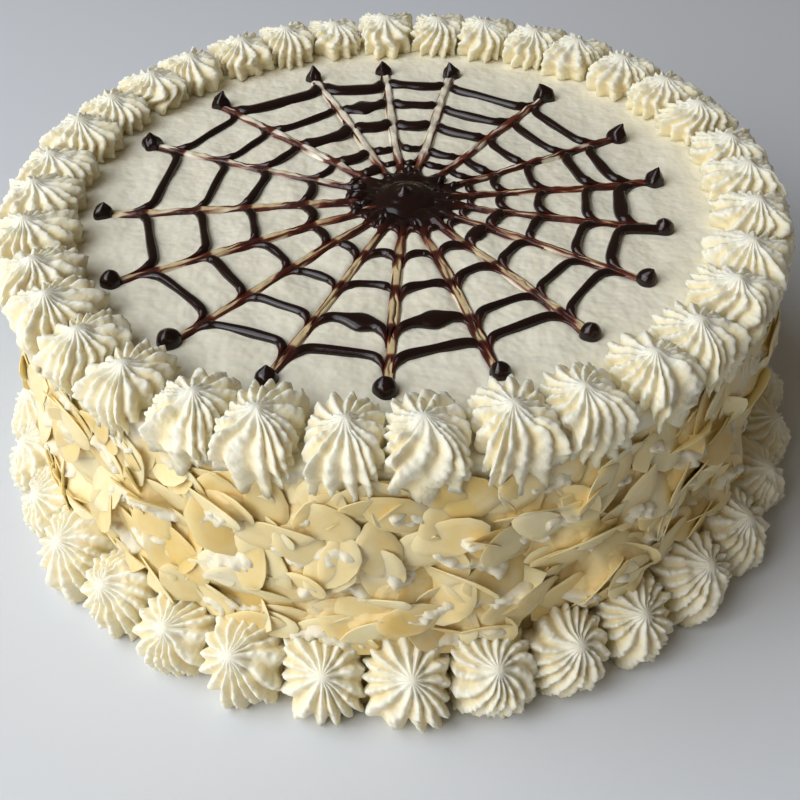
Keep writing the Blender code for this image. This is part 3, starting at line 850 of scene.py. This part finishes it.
def bead(path, half_width, crown, base_height):
    """A low dome carried along a path: each row is an oval's upper half, with its flat side in the cream."""
    ahead = np.gradient(path, axis=0)
    ahead /= np.linalg.norm(ahead, axis=1, keepdims=True)
    across = np.stack([-ahead[:, 1], ahead[:, 0]], axis=-1)
    turn = np.linspace(0.0, 1.0, BAR_COLUMNS - 2) * pi
    side = np.concatenate([np.cos(turn), [-0.75, 0.75]])
    lift = np.concatenate([np.sin(turn) ** 0.8, [-0.6, -0.6]])
    flat = path[:, None] + across[:, None] * (half_width[:, None] * side)[..., None]
    height = base_height + crown[:, None] * lift
    rows = np.concatenate([flat, height[..., None]], axis=-1)
    return closed_form(rows, rows[0].mean(axis=0), rows[-1].mean(axis=0))


def thick(form):
    """A form of chocolate that is thick all over, as a part."""
    return form, {"thin": np.zeros(len(form[0]))}


def web_bar(ring, spoke, rng):
    """One bar between two spokes: a straight line whose ends bend outward along the spokes and thin away."""
    looks = settings("chocolate")
    key = (ring, SPOKE_DEGREES[spoke])
    first = radians(SPOKE_DEGREES[spoke])
    width = (radians(SPOKE_DEGREES[(spoke + 1) % len(SPOKE_DEGREES)]) - first) % tau
    bare = 0.9 * MM / RING_RADII[ring]
    ends = np.array((first + bare, first + width - bare))
    jitter = rng.normal(0.0, 0.3 + 0.2 * ring, 2) * MM
    outward = [np.array((cos(end), sin(end))) for end in ends]
    distances = [ring_distance(ring, end) + shift for end, shift in zip(ends, jitter)]
    start, stop = (HUB + distance * direction for distance, direction in zip(distances, outward))
    share = np.linspace(0.0, 1.0, BAR_ROWS)
    share = share - 0.14 * np.sin(tau * share)
    path = start + (stop - start) * share[:, None]
    length = np.linalg.norm(stop - start)
    from_start = share * length
    from_stop = length - from_start
    pulls = looks.pull * (0.4 + 0.6 * RING_RADII[ring] / RING_RADII[-1]) * rng.uniform(0.6, 1.4, 2)
    piped_on = DRAWN_OUT_BARS.get(key, 0.0) * MM
    pulls[1] = max(pulls[1], piped_on)
    fade = min(1.1 * MM, 0.17 * length)
    for direction, distance, pull in zip(outward, (from_start, from_stop), pulls):
        hook = pull * np.exp(-distance / fade)
        path = path + hook[:, None] * direction
    away = (path - HUB) / np.linalg.norm(path - HUB, axis=1, keepdims=True)
    bow = rng.normal(0.0, 0.3) * MM * np.sin(pi * share)
    path = path + away * bow[:, None]
    thick = THICK_BARS.get(key, 1.0) * rng.uniform(0.9, 1.1) * (0.95, 1.0, 1.0, 1.0, 1.0)[ring]
    half = np.full(len(share), looks.line_width / 2.0) * thick
    half *= 1.0 + 0.07 * wave(tau * share * rng.uniform(0.8, 1.8), rng)
    if key in BLOB_BARS:
        half *= 1.0 + (BLOB_BARS[key] - 1.0) * bell(share - rng.uniform(0.5, 0.62), 0.19)
    near = from_start if piped_on else np.minimum(from_start, from_stop)
    half *= 0.14 + 0.86 * smooth_step(near, 0.0, min(2.1 * MM, 0.4 * length))
    crown = np.minimum(half * 1.05, 1.9 * MM)
    form = bead(path, half, crown, BODY_HEIGHT + 0.1 * MM)
    thin = np.repeat(1.0 - smooth_step(near, 0.3 * MM, 1.9 * MM), BAR_COLUMNS)
    return form, {"thin": with_poles(thin, 1.0, 1.0)}


class CAKE_OT_web_bars(bpy.types.Operator):
    """Pipe the rings of the web, cut into bars where the skewer dragged them outward"""

    bl_idname = "cake.web_bars"
    bl_label = "Bars of the web"

    def execute(self, context):
        rng = np.random.default_rng(SEED + 40)
        spokes = range(len(SPOKE_DEGREES))
        bars = [web_bar(ring, spoke, rng) for ring in range(len(RING_RADII)) for spoke in spokes]
        chocolate = material_of("set dark chocolate", dark_chocolate)
        add_piece("web_bars", join(bars), chocolate)
        return {"FINISHED"}


def spoke_furrow(number, rng):
    """A spoke from the hub to its drop: a low ragged ridge that the skewer tore up.

    Its attributes are how much chocolate was dragged to a vertex, how far it is from plain cream, and its
    cracks. Chocolate covers the spoke where it cuts a ring, then draws back to both edges and ends, each edge
    at its own distance. Spokes to the right are brown all over, those to the left have broader brown edges,
    and those behind are the whitest. Cracks are in front.
    """
    looks = settings("chocolate")
    angle = radians(SPOKE_DEGREES[number])
    front = max(0.0, -sin(angle))
    outward = np.array((cos(angle), sin(angle)))
    across = np.array((-sin(angle), cos(angle)))
    along = np.linspace(9.0 * MM, spoke_lengths()[number] - 1.0 * MM, SPOKE_ROWS)[:, None]
    side = np.linspace(-1.0, 1.0, SPOKE_COLUMNS)[None, :]
    wander = 0.45 * MM * wave(along / (15.0 * MM), rng) * smooth_step(along, 9.0 * MM, 30.0 * MM)
    brown = float(smooth_step(cos(angle - radians(5.0)), 0.35, 0.95))
    crossed = 1.0 - 0.8 * float(smooth_step(sin(angle), 0.6, 0.95))
    left = float(smooth_step(-cos(angle), 0.2, 0.9))
    breadth = (1.0 + 0.12 * wave(along / (5.0 * MM), rng)) * rng.uniform(0.9, 1.1) * (1.0 - 0.25 * brown)
    breadth = breadth * (0.62 + 0.38 * smooth_step(along, 12.0 * MM, 34.0 * MM))
    flat_strip = np.stack(np.broadcast_arrays(along, 6.0 * MM * side, 0.0), axis=-1)
    streak_spot = flat_strip * (0.3, 1.3, 1.0)
    streaks = ripple(streak_spot, 4.0 * MM, SEED + 60 + number, 20)
    edge = 0.12 * MM * ripple(streak_spot, 2.6 * MM, SEED + 80 + number, 20) * side
    x = looks.furrow_width / 2.0 * side * breadth + edge
    flat = HUB + outward * along[..., None] + across * (x + wander)[..., None]
    spot = np.concatenate([flat, np.zeros((*x.shape, 1))], axis=-1)
    rough = ripple(spot, 4.5 * MM, SEED + 50, 18)
    torn = smooth_step(ripple(spot, 9.0 * MM, SEED + 51), 0.1, 1.0) * (1.0 - 0.8 * front)
    nib = bell(along - rng.uniform(13.5, 17.0) * MM, rng.uniform(0.9, 2.0) * MM)
    nib = nib * bell(side - rng.uniform(-0.3, 0.3), 0.4) * rng.integers(0, 2) * (0.5 + 0.5 * front)
    smear = np.zeros_like(x)
    for ring in range(len(RING_RADII)):
        beyond = along - ring_distance(ring, angle) - 0.5 * MM
        reach = np.where(side > 0.0, *(rng.uniform(5.0, 12.0, 2) * MM)) * (1.0 + 0.5 * left)
        cover = smooth_step(1.2 * np.abs(side) + 0.75 - 1.7 * beyond / reach + 0.35 * streaks, -0.1, 0.7)
        smear = np.maximum(smear, crossed * cover * smooth_step(beyond, -2.0 * MM, 0.6 * MM))
    near_hub = 1.0 - smooth_step(along, 17.0 * MM, 36.0 * MM)
    smear = np.maximum(smear, near_hub * np.clip(0.5 + 0.5 * np.abs(side) + 0.2 * streaks, 0.0, 1.0))
    edges = np.clip(0.65 + 0.45 * streaks, 0.0, 1.0) * bell(np.abs(side) - 0.72, 0.17 + 0.09 * left)
    smear = np.maximum(smear, (0.85 + 0.1 * front) * edges)
    smear = np.maximum(smear, brown * np.clip(0.62 + 0.5 * streaks, 0.0, 1.0)) * (1.0 - nib)
    cracked = smooth_step(ripple(spot, 14.0 * MM, SEED + 52), -0.6, 0.1)
    cracked = cracked * smooth_step(along, 25.0 * MM, 45.0 * MM)
    crack = front**5 * cracked * bell(side - 0.12 - 0.15 * rough, 0.13)
    lift = (0.35 + 0.45 * (1.0 - front)) * (1.0 - np.abs(side) ** 3) * (1.0 + 0.25 * rough)
    lift = lift + 0.25 * torn * (1.0 - side**2) - 0.5 * side**6 + 1.1 * nib - 1.2 * crack
    rows = np.concatenate([flat, (BODY_HEIGHT + 0.1 * MM + lift * MM)[..., None]], axis=-1)
    under = rows[:, (-1, 0)].copy()
    under[..., 2] = BODY_HEIGHT - 1.6 * MM
    rows = np.concatenate([rows, under], axis=1)
    tan_share = 0.3 + 0.7 * smooth_step(-sin(angle) + 0.0 * x, -0.8, 0.1)
    tan_share = np.clip(tan_share - 0.4 * torn - nib, 0.0, 1.0) * (1.0 - side**8)
    hidden = np.zeros((len(along), 2))
    values = {"smear": smear, "furrow_depth": tan_share, "crack": crack}
    form = closed_form(rows, rows[0].mean(axis=0), rows[-1].mean(axis=0))
    return form, {key: with_poles(np.concatenate([shown, hidden], axis=1)) for key, shown in values.items()}


class CAKE_OT_spokes(bpy.types.Operator):
    """Drag the skewer through the web: furrows with cream and chocolate streaks"""

    bl_idname = "cake.spokes"
    bl_label = "Spokes of the web"

    def execute(self, context):
        rng = np.random.default_rng(SEED + 41)
        spokes = [spoke_furrow(number, rng) for number in range(len(SPOKE_DEGREES))]
        dragged = material_of("dragged chocolate and cream", dragged_chocolate)
        add_piece("web_spokes", join(spokes), dragged)
        return {"FINISHED"}


def web_drop(place, pointed, rng):
    """A drop: a dome whose point curls over and whose sides fold, less of both the rounder it is."""
    looks = settings("chocolate")
    turn = turns(DROP_COLUMNS)
    share = shares(DROP_ROWS)
    size = rng.uniform(0.9, 1.12)
    spread = looks.drop_width / 2.0 * size * np.sin(share * pi / 2.0) ** 0.9
    curl = 0.32 * pointed * looks.drop_height * bell(share, 0.22)
    folds = 0.07 * wave(2.0 * turn, rng) + 0.09 * wave(3.0 * turn + share * 4.0, rng)
    folds = folds + 0.06 * wave(5.0 * turn - share * 3.0, rng)
    spread = spread * (1.0 + pointed * folds)
    rise = 0.75 * looks.drop_height * size * np.clip(np.cos(share * pi / 2.0), 0.0, 1.0) ** 0.85 + curl
    hook = rng.normal(0.0, 1.0, 2) * 1.2 * MM * (1.0 - share[..., None]) ** 4
    x = place[0] + spread * np.cos(turn) + hook[..., 0]
    y = place[1] + spread * np.sin(turn) + hook[..., 1]
    rows = np.stack(np.broadcast_arrays(x, y, BODY_HEIGHT - 0.3 * MM + rise), axis=-1)
    first = rows[0].mean(axis=0) + (0.0, 0.0, 0.4 * MM)
    return closed_form(rows, first, (*place, BODY_HEIGHT - 1.0 * MM))


class CAKE_OT_drops(bpy.types.Operator):
    """Set a drop of chocolate at the end of each spoke, rounder in front and more pointed behind"""

    bl_idname = "cake.drops"
    bl_label = "Chocolate drops"

    def execute(self, context):
        rng = np.random.default_rng(SEED + 42)
        drops = []
        for outward, length in zip(spoke_directions(), spoke_lengths()):
            pointed = 0.3 + 0.7 * float(smooth_step(outward[1], -0.5, 0.5))
            drops.append(thick(web_drop(HUB + outward * length, pointed, rng)))
        chocolate = material_of("set dark chocolate", dark_chocolate)
        add_piece("web_drops", join(drops), chocolate)
        return {"FINISHED"}


def hub_dome():
    """The poured mound: a flat dome with the faint turn of a spiral, and a small peak before its middle."""
    turn = turns(DOME_COLUMNS)
    share = shares(DOME_ROWS)
    distance = HUB_RADIUS * share * (1.0 + 0.03 * np.sin(3.0 * turn + 1.0))
    spiral = np.sin(turn + distance / (0.55 * MM)) * smooth_step(share, 0.05, 0.3) * (1.0 - share**4)
    x, y = distance * np.cos(turn), distance * np.sin(turn)
    tail = 2.3 * MM * np.exp(-(((x + 0.6 * MM) ** 2 + (y + 1.4 * MM) ** 2) / (1.7 * MM) ** 2))
    height = BODY_HEIGHT + 0.2 * MM + 3.7 * MM * (1.0 - share**2.2) + 0.08 * MM * spiral + tail
    rows = np.stack([HUB[0] + x, HUB[1] + y, height], axis=-1)
    return closed_form(rows, (*HUB, rows[0, :, 2].mean()), (*HUB, BODY_HEIGHT - 1.5 * MM))


def hub_skirt(rng):
    """The thin pool round the mound, with the tongues that the skewer drew out of it along the spokes."""
    turn = turns(SKIRT_COLUMNS)
    share = np.linspace(0.4, 1.0, SKIRT_ROWS)[:, None]
    spokes = np.radians(SPOKE_DEGREES)
    off = (turn[..., None] - spokes + pi) % tau - pi
    lengths = rng.uniform(5.5, 10.5, len(spokes)) * MM
    tongue = (lengths * np.exp(-((np.abs(off) / radians(5.6)) ** 1.4))).sum(axis=-1)
    edge = HUB_RADIUS * 1.24 + tongue + 0.8 * MM * np.sin(5.0 * turn + 1.0)
    distance = edge * share
    flat = np.stack([distance * np.cos(turn), distance * np.sin(turn), 0.0 * distance], axis=-1)
    lumps = 0.45 * MM * ripple(flat, 4.0 * MM, SEED + 44) * (1.0 - share**6)
    height = BODY_HEIGHT - 0.1 * MM + 1.7 * MM * np.sqrt(np.clip(1.0 - share**3, 0.0, 1.0)) + lumps
    rows = np.stack([HUB[0] + flat[..., 0], HUB[1] + flat[..., 1], height], axis=-1)
    form = closed_form(rows, (*HUB, BODY_HEIGHT + 1.0 * MM), (*HUB, BODY_HEIGHT - 1.5 * MM))
    return form, {"thin": with_poles(0.8 * smooth_step(distance, 14.0 * MM, 20.0 * MM))}


def hub_lump(rng):
    """A small clot of chocolate beside the mound: half an ellipsoid, longer towards the hub than across."""
    turn = turns(LUMP_COLUMNS)
    rise = shares(LUMP_ROWS) * pi / 2.0
    angle = rng.uniform(0.0, tau)
    distance = HUB_RADIUS + rng.uniform(0.6, 5.5) * MM
    long_half, wide_half, height = rng.uniform((1.5, 1.1, 1.8), (3.2, 2.0, 2.9)) * MM
    out = long_half * np.sin(rise) * np.cos(turn)
    beside = wide_half * np.sin(rise) * np.sin(turn) + 0.15 * out
    level = BODY_HEIGHT + height * np.cos(rise) + 0.0 * turn
    x = HUB[0] + (distance + out) * cos(angle) - beside * sin(angle)
    y = HUB[1] + (distance + out) * sin(angle) + beside * cos(angle)
    rows = np.stack([x, y, level], axis=-1)
    low = rows[-1].mean(axis=0) - (0.0, 0.0, 1.0 * MM)
    return closed_form(rows, rows[0].mean(axis=0) + (0.0, 0.0, 0.02 * MM), low)


class CAKE_OT_hub(bpy.types.Operator):
    """Pour the mound in the middle of the web, its pool and the clots beside it"""

    bl_idname = "cake.hub"
    bl_label = "Chocolate hub"

    def execute(self, context):
        rng = np.random.default_rng(SEED + 43)
        parts = [thick(hub_dome()), hub_skirt(rng)]
        parts += [thick(hub_lump(rng)) for number in range(HUB_LUMPS)]
        chocolate = material_of("set dark chocolate", dark_chocolate)
        add_piece("web_hub_mound", join(parts), chocolate, ("web_hub",))
        return {"FINISHED"}


# Stage


class CAKE_OT_stage(bpy.types.Operator):
    """Lay the pale floor, light it softly from the front left, and set the camera where the photo's was"""

    bl_idname = "cake.stage"
    bl_label = "Stage"

    def execute(self, context):
        looks = settings("stage")
        half = 2.5
        corners = np.array(((-half, -half, 0.0), (half, -half, 0.0), (half, half, 0.0), (-half, half, 0.0)))
        mesh = bpy.data.meshes.new("floor")
        mesh.from_pydata([tuple(corner) for corner in corners], [], [(0, 1, 2, 3)])
        mesh.materials.append(material_of("matt painted board", pale_floor))
        floor = bpy.data.objects.new("floor", mesh)
        context.scene.collection.objects.link(floor)
        world = context.scene.world or bpy.data.worlds.new("sky")
        context.scene.world = world
        context.scene.view_settings.view_transform = "Standard"
        world.use_nodes = True
        sky = world.node_tree.nodes["Background"]
        sky.inputs["Color"].default_value = (*looks.sky_colour, 1.0)
        sky.inputs["Strength"].default_value = looks.sky_strength
        lights = (
            ("window", looks.window_power, 1.25, (-1.17, -0.82, 0.80), looks.window_colour),
            ("ceiling", looks.ceiling_power, 1.1, (-0.85, -0.12, 1.15), looks.ceiling_colour),
        )
        for name, power, size, place, colour in lights:
            lamp = bpy.data.lights.new(name, "AREA")
            lamp.energy = power
            lamp.size = size
            lamp.color = colour
            item = bpy.data.objects.new(name, lamp)
            item.location = place
            item.rotation_euler = (-Vector(place)).to_track_quat("-Z", "Y").to_euler()
            context.scene.collection.objects.link(item)
        camera = bpy.data.cameras.new("camera")
        camera.sensor_width = 36.0
        camera.lens = CAMERA_LENS
        camera.clip_start = 0.01
        camera.clip_end = 20.0
        viewer = bpy.data.objects.new("camera", camera)
        back = np.cross(CAMERA_RIGHT, CAMERA_UP)
        axes = np.stack([CAMERA_RIGHT, CAMERA_UP, back], axis=-1)
        matrix = np.eye(4)
        matrix[:3, :3] = axes
        matrix[:3, 3] = np.array(CAMERA_PLACE) * MM
        viewer.matrix_world = Matrix(matrix.tolist())
        context.scene.collection.objects.link(viewer)
        context.scene.camera = viewer
        return {"FINISHED"}


# Settings and panel


def colour_setting(name, description, code):
    """A colour that the panel shows, given as an sRGB hex code."""
    return FloatVectorProperty(
        name=name, description=description, default=srgb(code), size=3, min=0.0, max=1.0, subtype="COLOR"
    )


def number_setting(name, description, default, **options):
    """A number that the panel shows, with its limits or its unit."""
    return FloatProperty(name=name, description=description, default=default, **options)


def length_setting(name, description, millimetres):
    """A length, given in millimetres."""
    return number_setting(name, description, millimetres * MM, subtype="DISTANCE", unit="LENGTH")


def share_setting(name, description, share):
    """A share from 0 to 1."""
    return number_setting(name, description, share, min=0.0, max=1.0, subtype="FACTOR")


def angle_setting(name, description, angle):
    """An angle, given in radians."""
    return number_setting(name, description, angle, subtype="ANGLE", unit="ROTATION")


def power_setting(name, description, watts):
    """The power of a lamp, given in watts."""
    return number_setting(name, description, watts, subtype="POWER", unit="POWER")


def count_setting(name, description, default, least, most):
    """A whole number between two limits."""
    return IntProperty(name=name, description=description, default=default, min=least, max=most)


class CreamSettings(bpy.types.PropertyGroup):
    """Colours and relief of the cream"""

    ridge_colour: colour_setting("Ridges", "Cream on the ridges of a star", "f0ecd9")
    # Painted warm shade in a star's grooves and at its thin ends.
    groove_shade_colour: colour_setting("Grooves", "Cream deep in the grooves of a star", "f0dfa8")
    coat_colour: colour_setting("Coat", "Cream spread on the cake", "f1ecd8")
    coat_shade_colour: colour_setting("Coat, darker", "Clouds in the spread cream", "eae3ca")
    # Painted warm shade of the cream sunk between the almonds.
    painted_gap_shade_colour: colour_setting("Oily", "Cream between the almonds, yellowed by their oil", "eed9a2")
    foam_relief: share_setting("Foam relief", "Strength of the beaten foam's grain", 0.5)
    pimple_relief: share_setting("Pimple relief", "Strength of the spread cream's pimples", 0.55)
    columns_per_sector: count_setting("Columns", "Columns of faces between two spokes", 30, 4, 60)
    top_rows: count_setting("Rows", "Rows of faces from the hub to the rim", 130, 10, 180)


class StarSettings(bpy.types.PropertyGroup):
    """Form of the piped stars"""

    ridges: count_setting("Ridges", "Ridges that the nozzle leaves on a star", 16, 6, 20)
    groove_depth: share_setting("Groove depth", "Depth of a groove as a share of the star's radius", 0.13)
    end_depth: share_setting("End depth", "How much deeper the grooves are between the ridges' ends", 0.06)
    ridge_sharpness: number_setting("Sharpness", "Power of the ridge's wave", 0.85, min=0.3, max=3.0)
    sway: angle_setting("Sway", "How far ridges swing sideways", 0.09)
    twist: angle_setting("Twist", "How far ridges turn round the star", 0.65)
    uneven_lengths: share_setting("Uneven lengths", "How much the ridges of one star differ in length", 0.045)


class AlmondSettings(bpy.types.PropertyGroup):
    """Number, size and colours of the almond slices"""

    count: count_setting("Slices", "Almond slices on the side", 1050, 1, 1500)
    length: length_setting("Length", "Length of a whole slice", 22.5)
    width: length_setting("Width", "Width of a whole slice", 14.0)
    thickness: length_setting("Thickness", "Thickness of a slice", 0.5)
    lowest: length_setting("Lowest", "Lowest point of the slices", 15.0)
    highest: length_setting("Highest", "Highest point of the slices", 87.0)
    dish: length_setting("Dish", "How far a slice bends", 0.7)
    most_build_up: length_setting("Build-up", "How far slices stand out from the cream at most", 7.5)
    unevenness: share_setting("Unevenness", "Random lean of a slice, as a slope", 0.12)
    standing_share: share_setting("Standing", "Share of slices that stand out on edge", 0.11)
    broken_share: share_setting("Broken", "Share of slices with a piece broken off", 0.35)
    pale_colour: colour_setting("Pale", "Palest slices", "f8eaba")
    honey_colour: colour_setting("Honey", "Darkest slices", "e6c370")
    rim_colour: colour_setting("Rim", "Cut edge of a slice", "f3e2ac")
    film_colour: colour_setting("Film", "Cream wiped thinly on a slice", "f2e9cd")


class ChocolateSettings(bpy.types.PropertyGroup):
    """Widths and colours of the chocolate"""

    line_width: length_setting("Line width", "Width of a piped bar", 3.0)
    pull: length_setting("Pull", "How far the skewer draws a bar's ends outward", 8.0)
    furrow_width: length_setting("Furrow width", "Width of a spoke with its ragged sides", 3.6)
    drop_width: length_setting("Drop width", "Width of a drop", 6.5)
    drop_height: length_setting("Drop height", "Height of a drop", 5.6)
    thick_colour: colour_setting("Thick", "Chocolate where it is thick", "1e0e0b")
    thin_colour: colour_setting("Thin", "Chocolate where it is thin", "3d170f")
    smear_colour: colour_setting("Smear", "Chocolate rubbed into cream", "7a3c26")
    furrow_colour: colour_setting("Furrow", "Cream in the skewer's furrow", "d4be8e")


class StageSettings(bpy.types.PropertyGroup):
    """Floor and light"""

    floor_colour: colour_setting("Floor", "Colour of the floor", "dbdee1")
    sky_colour: colour_setting("Sky", "Colour of the light from all round", "f5e2c8")
    sky_strength: number_setting("Sky strength", "Strength of the light from all round", 0.12)
    window_colour: colour_setting("Window", "Colour of the light from the window", "fbfbff")
    window_power: power_setting("Window power", "Power of the light from the window", 19.0)
    ceiling_colour: colour_setting("Ceiling", "Colour of the light from above", "e3ebf6")
    ceiling_power: power_setting("Ceiling power", "Power of the light from above", 13.0)


class CakeSettings(bpy.types.PropertyGroup):
    """All settings of the cake"""

    cream: PointerProperty(type=CreamSettings, name="Cream", description="Colours and relief of the cream")
    stars: PointerProperty(type=StarSettings, name="Stars", description="Form of the piped stars")
    almonds: PointerProperty(type=AlmondSettings, name="Almonds", description="Almond slices on the side")
    chocolate: PointerProperty(type=ChocolateSettings, name="Chocolate", description="Chocolate web")
    stage: PointerProperty(type=StageSettings, name="Stage", description="Floor and light")


STEPS = (
    CAKE_OT_top_coat,
    CAKE_OT_side,
    CAKE_OT_web_bars,
    CAKE_OT_spokes,
    CAKE_OT_drops,
    CAKE_OT_hub,
    CAKE_OT_top_stars,
    CAKE_OT_base_stars,
    CAKE_OT_stage,
)


class CAKE_PT_panel(bpy.types.Panel):
    """The cake's steps and settings"""

    bl_idname = "CAKE_PT_panel"
    bl_label = "Almond web cake"
    bl_space_type = "VIEW_3D"
    bl_region_type = "UI"
    bl_category = "Cake"

    def draw(self, context):
        for step in STEPS:
            self.layout.operator(step.bl_idname)
        for group in ("cream", "stars", "almonds", "chocolate", "stage"):
            box = self.layout.box()
            for key in settings(group).bl_rna.properties.keys():
                if key not in ("rna_type", "name"):
                    box.prop(settings(group), key)


CLASSES = (
    CreamSettings,
    StarSettings,
    AlmondSettings,
    ChocolateSettings,
    StageSettings,
    CakeSettings,
    *STEPS,
    CAKE_PT_panel,
)


def register():
    """Make the settings, steps and panel known to Blender."""
    for item in CLASSES:
        bpy.utils.register_class(item)
    bpy.types.Scene.almond_web_cake = PointerProperty(type=CakeSettings)


def unregister():
    """Take them away again."""
    del bpy.types.Scene.almond_web_cake
    for item in reversed(CLASSES):
        bpy.utils.unregister_class(item)


def main():
    """Register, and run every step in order."""
    register()
    bpy.ops.cake.top_coat()
    bpy.ops.cake.side()
    bpy.ops.cake.web_bars()
    bpy.ops.cake.spokes()
    bpy.ops.cake.drops()
    bpy.ops.cake.hub()
    bpy.ops.cake.top_stars()
    bpy.ops.cake.base_stars()
    bpy.ops.cake.stage()


if __name__ == "__main__":
    main()
